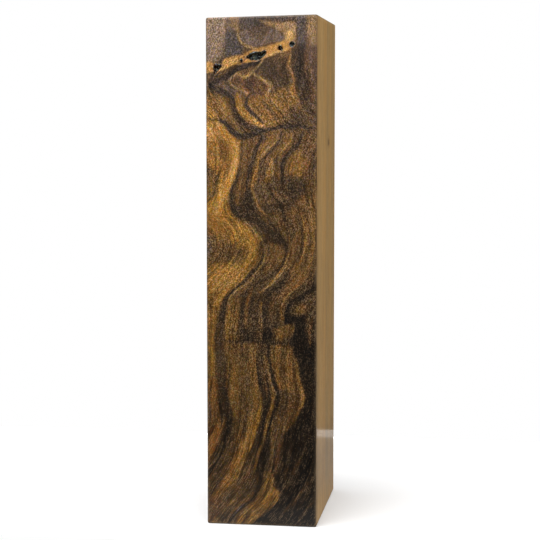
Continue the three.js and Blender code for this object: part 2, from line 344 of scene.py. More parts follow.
# Lines of the figure: tone, width, softness of the edge, strength, points from top to bottom.
# A line narrows towards both of its ends.
LINES = [
    # Upper end
    ("pale", 0.55, 0.25, 0.6, [(9, 136.2), (9.1, 134.4), (9.5, 132.9), (10.6, 131.9), (12.4, 131.3),
     (14.4, 131.2)]),
    ("umber", 0.4, 0.25, 0.5, [(19.8, 132.7), (17.6, 132), (15.2, 131.7), (13.4, 131.7)]),
    ("yellow", 0.9, 0.4, 0.5, [(23, 131), (20, 130.2), (17, 129.3), (15.2, 128.6)]),
    ("yellow", 1.2, 0.5, 0.45, [(9.4, 128.2), (7.4, 127.6), (5.4, 126.4), (4, 125.4)]),
    ("black", 1.7, 0.4, 0.8, [(14.6, 127.5), (12, 126.8), (9.4, 125.6), (7, 124.3), (5, 123.2), (3, 122.2),
     (1.2, 121.3)]),
    ("black", 1.8, 0.4, 0.78, [(1.2, 121.5), (3.6, 120), (5.7, 118.9), (7, 117.9), (7.6, 116.2),
     (8.2, 114.4), (9.2, 112.7), (10.5, 111), (12, 109.8), (14.6, 109.4)]),
    ("pale", 0.6, 0.3, 0.5, [(16, 128.6), (15.2, 127.4), (13.6, 125.7), (11.9, 123.9), (10.2, 123.5),
     (9, 124.3), (7.3, 123.7), (6.4, 122.3)]),
    ("pale", 0.45, 0.25, 0.42, [(6.4, 122.5), (7.5, 121), (10.2, 119.8), (11.8, 118.6), (11.7, 117.4)]),
    ("umber", 0.8, 0.3, 0.7, [(7.8, 122.6), (9.6, 121.6), (11.6, 121), (13, 119.6), (13.6, 118)]),
    ("pale", 0.8, 0.35, 0.5, [(13.1, 124.4), (15, 123), (17, 121.9), (17.8, 121), (17.4, 119.9),
     (16.7, 118.6), (17.4, 117.6), (19.1, 116.2)]),
    ("honey", 0.7, 0.3, 0.7, [(14.6, 121), (16, 119.6), (17.6, 118.2), (19, 116.8), (20.6, 115)]),
    ("copper", 0.9, 0.35, 0.7, [(23, 130.6), (22.9, 128), (22.6, 126.4), (23.5, 124.6), (24.2, 122.6),
     (24.3, 120.4), (24.8, 118), (26, 115.6)]),
    ("pale", 0.3, 0.2, 0.5, [(23.2, 130), (23.1, 127.8), (22.9, 126.6), (23.8, 124.6)]),
    ("copper", 0.35, 0.2, 0.5, [(27.8, 127), (28.8, 125), (30, 122.6), (31, 121)]),
    ("copper", 0.3, 0.2, 0.4, [(28.2, 131), (29.4, 128.6), (31, 126.6)]),
    # Folds over the wavy line
    ("gold", 1.7, 0.35, 0.85, [(8.6, 118.6), (8.9, 116.4), (9.9, 114.4), (11.4, 112.9), (13.2, 111.6),
     (15.2, 110.3)]),
    ("amber", 1, 0.4, 0.6, [(12.4, 112.2), (14, 111.1), (15.2, 110.3)]),
    ("dark", 1, 0.25, 0.95, [(12, 118.8), (11.3, 117.2), (11.1, 115.8), (11.8, 114.8), (13.6, 112.9),
     (15.6, 110.9)]),
    ("pale", 0.35, 0.2, 0.6, [(22, 112.2), (20, 111.6), (17.6, 110.9), (15, 110.3)]),
    ("umber", 0.5, 0.25, 0.6, [(17, 118.2), (18.6, 116.2), (20.4, 114.2), (21.4, 112.6)]),
    ("pale", 0.3, 0.2, 0.5, [(18.4, 116.8), (20, 115), (21.6, 113.6), (22.8, 112.8)]),
    ("umber", 0.4, 0.2, 0.5, [(15.6, 116.6), (17, 115), (18.4, 113.4), (19.4, 111.8)]),
    ("honey", 0.5, 0.25, 0.6, [(23.2, 117.4), (24.8, 115.8), (26.6, 114.2), (28.2, 112.8), (29.4, 112.2)]),
    ("umber", 0.5, 0.3, 0.8, [(-1, 112.4), (1.6, 112.3), (3.4, 111.9), (4.6, 111.3)]),
    ("dark", 1.8, 0.4, 0.95, [(4, 111.6), (5.6, 110.6), (7, 109.2), (8.4, 107.9), (9.8, 107.4),
     (11.2, 107.5), (12.6, 108), (14.2, 108.6), (16, 109), (18, 109.3)]),
    ("dark", 1.2, 0.35, 0.95, [(17, 109.2), (19, 109.6), (21, 110), (23, 110), (25.2, 110.4), (26.6, 110),
     (28, 109.4), (29.6, 109.6)]),
    ("umber", 0.35, 0.2, 0.7, [(-1, 107.2), (1, 107.1), (2.6, 106.8)]),
    # Stripes that run down from the wavy line
    ("amber", 2.1, 0.7, 0.8, [(7.6, 106.6), (8, 104), (8, 101), (7.4, 98.4), (6.4, 95.8), (5.4, 93.4),
     (4.4, 91), (3.6, 88.8), (2.6, 86.6)]),
    ("yellow", 0.5, 0.35, 0.4, [(8.3, 104.6), (8.3, 101), (7.6, 98), (6.6, 95.4)]),
    ("honey", 0.4, 0.25, 0.6, [(0.9, 98), (1.2, 95), (1.6, 92.6)]),
    ("umber", 0.9, 0.3, 0.8, [(3.6, 97.8), (3, 95.6), (2.6, 93.2), (1.8, 91.4), (0.6, 90), (-1, 89)]),
    ("umber", 0.5, 0.3, 0.6, [(9.8, 106.8), (9.9, 104), (9.6, 101), (9, 98.6)]),
    ("dark", 1.25, 0.35, 0.9, [(15.6, 107.4), (14.6, 105.6), (13.6, 103.4), (12.9, 101.2), (12.2, 99),
     (11.6, 96.6), (11.1, 94), (11.2, 91.6), (12, 89.8), (13.2, 88)]),
    ("dark", 1.9, 0.5, 0.7, [(15, 108.6), (15.8, 107.2), (15.4, 105.9)]),
    ("honey", 0.7, 0.25, 0.7, [(10.9, 96.6), (10.5, 95), (10.4, 93), (9.8, 91.6), (9, 90.2)]),
    ("honey", 0.85, 0.3, 0.8, [(18, 107.4), (16.8, 105.6), (15.4, 103.6), (14.5, 101.6), (13.9, 99),
     (13.2, 96.4), (12.7, 94), (13.1, 91.6), (14, 89.4), (15.2, 87.4), (16.6, 86)]),
    ("pale", 0.35, 0.2, 0.6, [(19.6, 106.4), (18, 105), (16.4, 103.6), (15.2, 101.8)]),
    ("dark", 0.8, 0.3, 0.85, [(20.8, 108.6), (20.4, 106.6), (19.2, 105), (17.6, 103.4), (16.2, 101.6),
     (15.2, 99.8), (14.8, 97), (14.4, 94.4)]),
    ("honey", 1.5, 0.45, 0.75, [(22.4, 109), (22.8, 107), (21.8, 105), (20.4, 103.6), (19, 102),
     (18.1, 100), (17.7, 97.6), (17.4, 95.4)]),
    ("pale", 0.3, 0.2, 0.5, [(23.4, 108), (23, 106), (21.6, 104.2), (20.4, 102.8)]),
    ("pale", 0.35, 0.2, 0.7, [(18.6, 101), (18.3, 99), (18.3, 97)]),
    ("dark", 0.7, 0.3, 0.8, [(20, 103.4), (19.6, 101), (19.7, 98.4)]),
    ("dark", 1.3, 0.45, 0.9, [(26.4, 108.4), (25.6, 106.2), (24.4, 104.4), (22.8, 102.8), (21.6, 101.2),
     (20.9, 99.2), (21, 97), (22, 95)]),
    ("dark", 0.4, 0.25, 0.7, [(16.6, 101), (16.2, 98), (16, 95.4)]),
    ("dark", 0.8, 0.4, 0.8, [(31, 105), (29.6, 102.6), (29.6, 99.6), (29, 96.8), (29.4, 94.6)]),
    ("honey", 0.8, 0.4, 0.5, [(28.6, 95.6), (28.4, 92.6), (28.8, 89.6), (29.6, 86.6)]),
    ("honey", 1.2, 0.5, 0.5, [(30.6, 94), (30.2, 90), (30, 86), (29.4, 82.6)]),
    ("russet", 1, 0.5, 0.7, [(17.6, 93.2), (19.6, 92), (21.6, 91.2), (23, 90.6)]),
    # The S and the arcs beside it
    ("black", 0.85, 0.35, 0.75, [(17.6, 84), (19.2, 82.4), (20.4, 80.8), (21.4, 79.2), (22, 77.4),
     (21.9, 75.4), (21.2, 73.4), (20.2, 71.8), (18.8, 70.4), (17.2, 69.2), (15.4, 68), (13.4, 66.8),
     (11.8, 65)]),
    ("dark", 0.5, 0.25, 0.5, [(16, 86), (17.6, 84.2), (18.8, 82.6)]),
    ("black", 0.8, 0.5, 0.4, [(7, 92), (6.8, 89.6), (7.2, 87.6), (8.6, 86)]),
    ("umber", 0.9, 0.5, 0.7, [(9.6, 92.6), (9.3, 90.8), (9.8, 89), (10.8, 87.6)]),
    ("pale", 0.4, 0.22, 0.6, [(10.6, 84.4), (12.4, 82.8), (13.9, 81), (15.2, 79.2), (15.9, 77.4),
     (16.1, 75.4), (15.8, 73.6), (15, 72), (14, 70.6), (12.6, 69.2)]),
    ("honey", 0.6, 0.3, 0.6, [(11.6, 82.2), (13.4, 80.4), (14.6, 78.2), (15.1, 76), (14.8, 74),
     (13.6, 71.8), (12, 69.8)]),
    ("dark", 0.6, 0.3, 0.7, [(14.9, 78.8), (14.8, 77), (14.9, 75.2)]),
    ("dark", 0.65, 0.3, 0.85, [(17.3, 78.2), (17.2, 76.6), (17, 75)]),
    ("umber", 1.3, 0.45, 0.85, [(16.4, 72.8), (14.6, 70.4), (12.8, 68.4), (11.2, 66.8), (9.6, 65.6)]),
    ("umber", 1.2, 0.5, 0.7, [(19.6, 73), (18.6, 71.4), (17, 69.6)]),
    ("dark", 0.7, 0.3, 0.7, [(22.6, 84.6), (23.6, 83.4), (24.2, 81.8), (23.9, 80.2), (23.2, 78.8)]),
    ("honey", 0.6, 0.25, 0.8, [(22.8, 82.6), (22.9, 80), (23.2, 77.6), (22.9, 75.4), (22, 73.2),
     (20.8, 71.2), (19.4, 69.4), (17.8, 67.6), (16.2, 66), (14.6, 64.8)]),
    ("pale", 0.35, 0.2, 0.8, [(21.8, 73), (21.6, 71.6), (20.2, 69.8), (18.6, 68), (17, 66.4), (15.2, 65)]),
    ("dark", 0.5, 0.25, 0.6, [(24.8, 86), (25.8, 83.4), (26.4, 80.8), (26.4, 78), (25.6, 75.4), (24.2, 73),
     (22.6, 71), (21, 69)]),
    ("honey", 0.45, 0.22, 0.75, [(25.6, 87), (26.8, 84), (27.4, 81), (27.4, 78), (26.6, 75), (25.2, 72.6),
     (23.8, 70.8), (22.2, 69)]),
    ("dark", 0.5, 0.25, 0.55, [(26.6, 88), (28, 84.6), (28.6, 81), (28.4, 77.4), (27.4, 74), (25.8, 71.4),
     (24, 69.4), (22.4, 67.6)]),
    ("honey", 0.45, 0.22, 0.75, [(28.2, 86), (29.2, 82.4), (29.6, 78.8), (29.4, 75.6), (28.4, 72.6),
     (27, 70.2), (25.2, 68), (23.4, 66.2)]),
    ("dark", 0.5, 0.25, 0.5, [(29.6, 84), (30.4, 80), (30.2, 76), (29.2, 72.6), (27.6, 69.6),
     (25.8, 67.4)]),
    ("umber", 0.6, 0.3, 0.5, [(24, 79), (24.4, 77), (24, 74.6), (22.8, 72.4), (21.4, 70.4)]),
    ("dark", 1.6, 0.5, 0.8, [(31, 72), (30, 69.6), (28.8, 67.4), (27, 65.6), (25, 64.4)]),
    # From the S down to the middle of the lower half
    ("dark", 0.95, 0.3, 0.85, [(15.3, 78.8), (15.8, 76.6), (15.5, 74.4), (14.2, 72.2), (12.6, 70.4),
     (11, 68.5), (9.2, 66.9), (7.4, 65.2), (5.8, 63.2), (4.9, 60.6), (4.4, 58)]),
    ("dark", 1.9, 0.5, 0.85, [(5.6, 63), (4.8, 60), (4.2, 57), (3.4, 54.4), (3, 51.4), (3.4, 48),
     (4.2, 45.6), (5, 43)]),
    ("umber", 2.6, 0.7, 0.7, [(4, 56), (3.8, 52), (3.6, 48), (3.8, 44), (3.4, 41)]),
    ("pale", 0.4, 0.2, 0.5, [(13.2, 69), (11.4, 67.4), (9.6, 66.4), (8, 65), (6.6, 63.2), (5.9, 61.4)]),
    ("brown", 1, 0.4, 0.7, [(11, 66.6), (9.4, 65), (8, 63.4), (7, 61.6), (6.6, 59)]),
    ("honey", 1.1, 0.35, 0.75, [(7.6, 62.4), (7.2, 59.6), (6.4, 56.6), (6, 54), (6.2, 51), (6.8, 48.6)]),
    ("gold", 0.35, 0.2, 0.6, [(6.3, 60), (5.7, 56.6), (5.6, 53.6), (5.8, 51)]),
    ("honey", 0.4, 0.2, 0.5, [(8.6, 61), (8.4, 58), (8, 55), (8.2, 51)]),
    ("dark", 0.8, 0.3, 0.8, [(13.6, 66.4), (12, 64.4), (10.6, 62.4), (9.8, 60), (9.7, 57), (9.4, 54.4),
     (9.4, 52), (10, 49.6), (10.2, 47)]),
    ("copper", 1, 0.3, 0.65, [(12.8, 66), (11.6, 63.4), (11.1, 60.6), (11.1, 57.6), (11, 55.2)]),
    ("dark", 1.3, 0.45, 0.6, [(13, 63.4), (12.8, 60), (13.2, 57), (12.8, 54), (12.8, 51.8)]),
    ("dark", 1.3, 0.4, 0.85, [(22.8, 70), (21, 67.6), (19.2, 65.6), (17.6, 63.8), (16.4, 61.6), (16, 59),
     (16.4, 56.6), (17.2, 54.6)]),
    ("brown", 0.8, 0.35, 0.7, [(16.4, 66), (15, 63.8), (14.8, 61), (15, 58), (14.8, 55.4)]),
    ("pale", 0.3, 0.2, 0.5, [(15.1, 62.6), (15.1, 60), (15.2, 57.4), (15.1, 55.6)]),
    ("brown", 1.2, 0.5, 0.6, [(19, 64.6), (18, 62), (17.9, 59.4), (18.4, 57)]),
    ("dark", 0.7, 0.35, 0.6, [(18.2, 60.6), (18.4, 58), (19.2, 56), (20.4, 55)]),
    ("copper", 1.3, 0.45, 0.7, [(27, 69.4), (25, 67), (22.8, 65), (21.2, 63), (20.8, 60.4), (21, 58)]),
    ("pale", 0.3, 0.2, 0.5, [(25.6, 66.6), (23.8, 65.2), (21.8, 63.4), (20.8, 61.6)]),
    ("dark", 0.6, 0.3, 0.7, [(28.8, 70), (27, 67.6), (25, 65.8), (23.2, 64.4)]),
    ("umber", 0.5, 0.25, 0.7, [(31, 66), (29.2, 64.6), (27.6, 63)]),
    ("brown", 0.4, 0.2, 0.7, [(31, 64.6), (29.4, 62.6), (28.2, 60.8)]),
    ("black", 1, 0.4, 0.8, [(17.3, 53), (17.2, 51.4), (17.3, 49.4), (17.2, 47.4)]),
    ("dark", 1, 0.35, 0.7, [(20.4, 56.2), (18.6, 55.4), (17.6, 54.4)]),
    ("copper", 0.5, 0.25, 0.7, [(29.4, 58.4), (28.8, 55.8), (28.5, 53), (28.8, 50.6)]),
    ("copper", 1.3, 0.45, 0.7, [(0.7, 61), (0.9, 58), (1.2, 55), (1.1, 52)]),
    ("gold", 0.9, 0.4, 0.8, [(0.4, 60), (0.9, 57), (1.2, 54), (1, 51)]),
    ("gold", 0.9, 0.4, 0.7, [(0.5, 49), (0.7, 46), (0.6, 43.6), (0.2, 41.6)]),
    ("umber", 0.8, 0.4, 0.6, [(-0.2, 52), (0.6, 50.4), (1.8, 50)]),
    # Lower half, from the middle to the base
    ("dark", 0.9, 0.35, 0.7, [(5.6, 47), (5.4, 44), (5, 41.4), (4.8, 39)]),
    ("dark", 1.4, 0.45, 0.85, [(5, 40.6), (4.5, 38), (4, 35.6), (4.1, 33), (5, 31.4), (6, 30)]),
    ("dark", 1.9, 0.5, 0.85, [(5.2, 37.6), (6, 33.6), (6.4, 30.6), (6.4, 28), (5.7, 25.6), (4.7, 23),
     (3.8, 20.8), (2.6, 18.4), (1.2, 16), (-0.2, 13.6), (-1.8, 11)]),
    ("black", 1.6, 0.5, 0.85, [(6.2, 29.6), (5.7, 26.6), (4.7, 23.4), (3.7, 20.4), (2.4, 17.8),
     (0.8, 15.2), (-1, 12.6)]),
    ("tan", 0.35, 0.25, 0.25, [(4.6, 23), (3.7, 20.8), (2.6, 18.6), (1.2, 16.6), (-0.6, 15)]),
    ("umber", 0.5, 0.25, 0.6, [(9.4, 47), (9.2, 43), (9, 39)]),
    ("honey", 0.5, 0.25, 0.5, [(12.6, 50), (12.4, 47), (12.6, 43), (13, 40)]),
    ("umber", 0.6, 0.3, 0.6, [(11, 50), (11, 46), (10.6, 42)]),
    ("copper", 1, 0.4, 0.6, [(13.4, 44), (13.6, 41), (13.6, 38), (14, 35.6)]),
    ("honey", 3.3, 0.7, 0.75, [(14, 38), (14.3, 35.6), (14, 33), (13.4, 30.6), (12.8, 28), (12.3, 25.8),
     (11.8, 23.6), (11.2, 21.4), (10.4, 19), (9.4, 16.8), (8.2, 14.6), (6.8, 12.8), (5.4, 11.2)]),
    ("gold", 1.5, 0.6, 0.6, [(14.9, 36), (14.8, 33.6), (14.2, 31), (13.6, 28.4), (13, 26), (12.4, 23.4),
     (11.8, 21)]),
    ("copper", 2, 0.6, 0.6, [(10, 24), (9.4, 21), (8.4, 18.6), (7.2, 16), (5.8, 13), (4.2, 10.6),
     (2.6, 8)]),
    ("dark", 1.25, 0.35, 0.9, [(14, 45), (14.4, 42.6), (15, 40), (15.7, 37.6), (16.3, 35.4), (16.3, 33),
     (15.8, 30.8), (15.2, 28.4), (14.6, 26.2), (13.9, 24), (13, 21.8), (12, 19.4), (10.9, 17), (9.8, 14.8),
     (8.4, 12.4)]),
    ("honey", 1, 0.35, 0.6, [(16, 48), (16.8, 45), (17.3, 42.4), (17.7, 40), (18.2, 37.8), (18.5, 35.6),
     (18.2, 33.4), (17.5, 31.2), (16.9, 29), (16.5, 26.6), (16, 24), (15.2, 21.6), (14.2, 19),
     (13.6, 16.6)]),
    ("honey", 0.6, 0.3, 0.6, [(18.2, 38.6), (18.6, 36.4), (18.4, 34.6), (18, 33)]),
    ("tan", 0.35, 0.2, 0.6, [(17.4, 42.4), (17.8, 40.4), (18.6, 38.4), (19.2, 36.6)]),
    ("black", 0.85, 0.3, 0.9, [(17, 48), (17.6, 45.6), (18.2, 43.2), (18.7, 41), (19.3, 39), (19.9, 37.4),
     (20, 35.4), (19.5, 33.4), (18.7, 31.6), (18, 29.6), (17.5, 27.2), (17.1, 25), (16.8, 22.4)]),
    ("umber", 0.5, 0.3, 0.3, [(21.4, 50), (20.9, 47.4), (20.7, 44.4), (21, 41.4), (21.6, 39)]),
    ("gold", 0.8, 0.45, 0.25, [(25.6, 42), (26, 39.6), (26.8, 37.2), (26.9, 35.6), (26.2, 33.6),
     (25, 31.4), (23.6, 29.2), (22.2, 27)]),
    ("pale", 0.3, 0.2, 0.25, [(26.2, 38.6), (27, 36.8), (27, 35), (26.4, 33.4), (25.4, 31.6)]),
    ("umber", 0.6, 0.3, 0.6, [(20.8, 37.8), (20.9, 35), (20.4, 32.4), (21.4, 30.2)]),
    ("umber", 1, 0.4, 0.6, [(19, 31), (19.2, 28), (19.4, 25), (19.3, 22)]),
    ("brown", 0.8, 0.3, 0.75, [(18.6, 30), (18.2, 27), (18.2, 24), (18.3, 21), (18.2, 18), (17.8, 15)]),
    ("tan", 0.3, 0.2, 0.4, [(18.6, 22.6), (18.6, 20), (18.3, 17.4), (17.4, 14.6)]),
    ("russet", 0.7, 0.3, 0.7, [(20.4, 25), (20, 22), (19.6, 18.6), (19.2, 15)]),
    ("black", 1.1, 0.35, 0.85, [(16.9, 24), (16.6, 21.4), (16.2, 19), (15.6, 16.6), (15.2, 14.2),
     (14.9, 12), (14.2, 10), (13.2, 8), (11.8, 6.4), (10, 5), (8.4, 3.6), (6.8, 2), (5.4, -0.5)]),
    ("slate", 0.35, 0.2, 0.7, [(10.6, 6), (9.4, 4.9), (8.4, 3.9), (7.4, 2.6)]),
    ("brown", 0.9, 0.35, 0.5, [(14.8, 21.6), (14.2, 19.4), (13.8, 17.2), (13.4, 15)]),
    ("russet", 1.4, 0.5, 0.5, [(12.6, 17), (11.4, 14), (9.8, 11.4), (7.6, 9)]),
    ("black", 0.7, 0.35, 0.5, [(6.6, 16), (4.2, 13), (1.8, 11)]),
    ("honey", 1.2, 0.4, 0.6, [(18, 14.6), (17.2, 12), (16.6, 9.6), (15.4, 7.4), (13.6, 5.4), (11.4, 3.4),
     (9.6, 1.4), (8.6, -1)]),
    ("gold", 0.9, 0.4, 0.6, [(17.4, 9.6), (15.8, 7), (13.8, 5), (11.6, 3.2), (10, 1.4)]),
    ("umber", 0.4, 0.2, 0.6, [(16, 6.6), (14, 4.8), (12, 3.2)]),
    ("umber", 1, 0.5, 0.6, [(28.4, 12.6), (25, 8), (22, 4.6), (18, 1.4)]),
    ("umber", 0.8, 0.5, 0.5, [(31, 9), (28.4, 5.6), (25.6, 2.4), (23, -1)]),
    ("umber", 0.9, 0.5, 0.5, [(27.6, 22), (25, 17), (22.6, 12), (20.6, 8.4)]),
    ("umber", 0.7, 0.5, 0.5, [(24, 24), (22.6, 18), (21.6, 13)]),
    ("umber", 0.5, 0.3, 0.6, [(30.4, 49), (30.3, 45), (30.4, 41)]),
]

# Marks that cross the grain: as lines, but the grain doesn't follow them
FOLDS = [
    ("maroon", 0.3, 0.25, 0.6, [(9.5, 129.4), (10.3, 129.5), (10.8, 128.8), (10.6, 127.8), (9.8, 127.4),
     (9.2, 127.9), (9.1, 128.8), (9.6, 129.5)]),
    ("dark", 1.3, 0.7, 0.7, [(4.4, 51.7), (7, 51.1), (10, 51.5), (12.5, 52.1), (15, 51.5), (18, 50.9),
     (21, 51.3), (23, 51.9)]),
    ("umber", 0.4, 0.3, 0.6, [(19.8, 38.3), (22, 38.1), (24.4, 38.2), (26.8, 38.5)]),
]

# Extra directions for the grain where no line above gives one, top to bottom
GRAIN_ONLY = [
    [(1, 140), (1, 134), (1, 128)],
    [(4, 140), (4, 134), (3, 129)],
    [(7, 140), (7, 134), (6.6, 130)],
    [(26, 140), (26, 134), (25, 127), (26, 121)],
    [(29.6, 140), (29.6, 130), (29.6, 119)],
    [(3, 111), (4, 104), (4, 98)],
    [(-1, 86), (4, 84.6), (7, 81.4), (8, 77.6), (6.4, 74), (3, 71.4), (-1, 69)],
    [(-1, 82), (2.4, 81), (4.2, 78), (3, 75), (-1, 73)],
    [(10, 82), (11.6, 78), (10.6, 74), (7, 69.6), (3, 66), (0, 63.4)],
    [(29, 45), (29, 38), (28.6, 31), (27, 24)],
    [(24, 49), (23.4, 44), (23.6, 38)],
]


def oval_outline(half_width, half_height, count=6):
    """Points round an oval, to a hundredth of a millimetre."""
    turns = [2 * math.pi * k / count for k in range(count)]
    return [(round(half_width * math.cos(t), 2), round(half_height * math.sin(t), 2)) for t in turns]


# Open voids in the front face, as in the CAD: tone inside, middle, depth, outline about the middle
VOIDS = [
    ("steel", (-1.3, 129.2), CHECK_DEPTH, [(-2.7, -0.4), (-1.6, -1.1), (0.1, -1.3), (1.6, -0.5),
     (2.8, 1.3), (0.5, 1), (-1.2, 0.8)]),
    ("plum", (-12.2, 126), CHECK_DEPTH, [(-0.8, 0.8), (-0.6, -1.4), (0.4, -0.5), (1.4, 0.7)]),
    ("steel", (-5.5, 127.9), 0.9, oval_outline(0.28, 0.5)),
    ("maroon", (5.2, 131.2), 1.1, oval_outline(0.66, 0.8)),
    ("steel", (8.3, 132.2), 0.7, oval_outline(0.8, 0.75)),
]
# Parts of the front face that get a fine mesh: left, right, bottom, top
FINE_WINDOWS = [(-14.2, -10.0, 124.0, 128.0), (-6.9, 2.4, 126.6, 131.6), (4.0, 9.9, 129.8, 133.7)]


# Noise and curves

def scrambled(ix, iy, iz, seed):
    """A repeatable pseudo-random number from 0 to 1 for each lattice point."""
    h = (ix * 374761393 + iy * 668265263 + iz * 2147483647 + seed * 1274126177) & 0xFFFFFFFF
    h = ((h ^ (h >> 13)) * 1103515245) & 0xFFFFFFFF
    h = ((h ^ (h >> 16)) * 2246822519) & 0xFFFFFFFF
    return (h ^ (h >> 15)) / 4294967295.0


def value_noise(p, seed):
    """Smooth noise from -1 to 1 at points p, an (n, 3) array with one cell to the unit."""
    base = np.floor(p).astype(np.int64)
    f = p - base
    f = f * f * f * (f * (f * 6 - 15) + 10)
    total = np.zeros(len(p))
    for corner in np.ndindex(2, 2, 2):
        weight = np.where(corner, f, 1 - f).prod(1)
        total += weight * scrambled(*(base + corner).T, seed)
    return 2 * total - 1


def fractal(p, size, octaves, seed):
    """Layered noise whose broadest features are size millimetres wide."""
    total, amount, norm = np.zeros(len(p)), 1.0, 0.0
    for k in range(octaves):
        total += amount * value_noise(p * (2.0**k / size) + 17.3 * k, seed + k)
        norm += amount
        amount *= 0.5
    return total / norm


def smoothstep(low, high, x):
    """Rises smoothly from 0 at low to 1 at high."""
    t = np.clip((x - low) / (high - low), 0, 1)
    return t * t * (3 - 2 * t)


def curve_through(points, steps, closed=False):
    """Points along a smooth curve through the given ones."""
    p = np.array(points, float)
    if closed:
        p = np.vstack([p[-1], p, p[0], p[1]])
    else:
        p = np.vstack([2 * p[0] - p[1], p, 2 * p[-1] - p[-2]])
    out = []
    for a, b, c, d in zip(p[:-3], p[1:-2], p[2:-1], p[3:]):
        slope = c - a
        bend = 2 * a - 5 * b + 4 * c - d
        twist = 3 * b - a - 3 * c + d
        for t in np.arange(steps) / steps:
            out.append(0.5 * (2 * b + slope * t + bend * t**2 + twist * t**3))
    if not closed:
        out.append(p[-2])
    return np.array(out)


def nearest_on(points, line):
    """Distance of each point from a line, and how far along the line the nearest place is, 0 to 1."""
    a, b = line[:-1], line[1:]
    ab = b - a
    length2 = np.maximum((ab**2).sum(1), 1e-12)
    best = np.full(len(points), 1e9)
    along = np.zeros(len(points))
    for k in range(len(a)):
        t = np.clip(((points - a[k]) @ ab[k]) / length2[k], 0, 1)
        d = np.hypot(*(points - a[k] - t[:, None] * ab[k]).T)
        closer = d < best
        best[closer] = d[closer]
        along[closer] = (k + t[closer]) / len(a)
    return best, along


def inside(points, outline):
    """True for each point inside a closed outline."""
    x, z = points.T
    found = np.zeros(len(points), bool)
    for (x0, z0), (x1, z1) in zip(outline, np.roll(outline, -1, axis=0)):
        if z0 == z1:
            continue
        crosses = ((z0 > z) != (z1 > z)) & (x < (x1 - x0) * (z - z0) / (z1 - z0) + x0)
        found ^= crosses
    return found


def depth_inside(points, outline):
    """How far each point lies inside a closed outline; outside it is negative."""
    closed = np.vstack([outline, outline[:1]])
    distance, _ = nearest_on(points, closed)
    return np.where(inside(points, outline), distance, -distance)


def within_reach(points, shape, reach):
    """True for each point that is less than reach outside the box round a shape."""
    return ((points > shape.min(0) - reach) & (points < shape.max(0) + reach)).all(1)


# The mesh: a rounded block with a fine front, closed all round

class MeshBuilder:
    """Collects vertices and faces. Positions are millimetres."""

    def __init__(self):
        self.points = []
        self.faces = []

    def add(self, x, y, z):
        self.points.append((x, y, z))
        return len(self.points) - 1

    def column(self, x, y, zs):
        return [self.add(x, y, z) for z in zs]

    def face(self, corners, flip=False):
        self.faces.append(corners[::-1] if flip else corners)

    def grid(self, rows, flip=False):
        """Faces of a grid of vertex numbers."""
        for low, high in zip(rows[:-1], rows[1:]):
            for k in range(len(low) - 1):
                self.face((low[k], low[k + 1], high[k + 1], high[k]), flip)

    def join_columns(self, columns):
        self.grid([list(row) for row in zip(*columns)])

    def zip_lines(self, a, b, at_a, at_b, flip=False):
        """Triangles between two lines of vertices that run the same way, placed by at_a and at_b."""
        i = j = 0
        while i < len(a) - 1 or j < len(b) - 1:
            step_a = j == len(b) - 1 or (i < len(a) - 1 and at_a[i + 1] <= at_b[j + 1])
            if step_a:
                self.face((a[i], a[i + 1], b[j]), flip)
                i += 1
            else:
                self.face((a[i], b[j + 1], b[j]), flip)
                j += 1


def spaced(low, high, step):
    """Evenly spaced values from low to high, about a step apart."""
    return np.linspace(low, high, max(2, round((high - low) / step) + 1))


def void_ragging(place):
    """How far the ragged edge of a void is moved at each (x, z) of the front face."""
    return VOID_RAGGED * fractal(np.insert(place, 1, 0, axis=1), 0.7, 2, SEED + 40)


def voids_depth(points):
    """How deep the front face lies at each (x, z), with rough walls and floors in the voids."""
    deep = np.zeros(len(points))
    ragged = void_ragging(points)
    rough = fractal(np.insert(points, 1, 0, axis=1), 0.5, 3, SEED + 41)
    for _, middle, depth, outline in VOIDS:
        shape = curve_through(outline, 6, closed=True)
        near = np.abs(points - middle).max(1) < np.abs(shape).max() + 1
        within = depth_inside(points[near] - middle, shape) + ragged[near]
        size = max(depth_inside(np.zeros((1, 2)), shape)[0], SMALLEST_VOID)
        floor = depth * np.interp(within / size, *VOID_WALL)
        floor = floor * (1 - FLOOR_ROUGH * np.clip(rough[near] + 0.2, 0, 1))
        deep[near] = np.maximum(deep[near], np.where(within > 0, floor, 0))
    return deep


def front_grid(m, xs, zs):
    """The front face, with a finer patch round each group of voids. Returns its grid of vertices."""
    rows = [[m.add(x, FRONT_Y, z) for x in xs] for z in zs]
    windows = []
    for left, right, low, high in FINE_WINDOWS:
        windows.append((*np.searchsorted(xs, [left, right]), *np.searchsorted(zs, [low, high])))
    for j in range(len(zs) - 1):
        for i in range(len(xs) - 1):
            if any(i0 <= i < i1 and j0 <= j < j1 for i0, i1, j0, j1 in windows):
                continue
            m.face((rows[j][i], rows[j][i + 1], rows[j + 1][i + 1], rows[j + 1][i]))
    for window in windows:
        fine_patch(m, rows, xs, zs, *window)
    return rows


def fine_patch(m, rows, xs, zs, i0, i1, j0, j1):
    """Fills a window of the front grid with small cells, and zips them to its border."""
    fine_x = np.linspace(xs[i0 + 1], xs[i1 - 1], (i1 - i0 - 2) * PATCH_SHARE + 1)
    fine_z = np.linspace(zs[j0 + 1], zs[j1 - 1], (j1 - j0 - 2) * PATCH_SHARE + 1)
    patch = [[m.add(x, FRONT_Y, z) for x in fine_x] for z in fine_z]
    m.grid(patch)
    wide_x, wide_z = xs[i0 : i1 + 1], zs[j0 : j1 + 1]
    left = [row[i0] for row in rows[j0 : j1 + 1]]
    right = [row[i1] for row in rows[j0 : j1 + 1]]
    m.zip_lines(rows[j0][i0 : i1 + 1], patch[0], wide_x, fine_x)
    m.zip_lines(rows[j1][i0 : i1 + 1], patch[-1], wide_x, fine_x, flip=True)
    m.zip_lines(left, [row[0] for row in patch], wide_z, fine_z, flip=True)
    m.zip_lines(right, [row[-1] for row in patch], wide_z, fine_z)


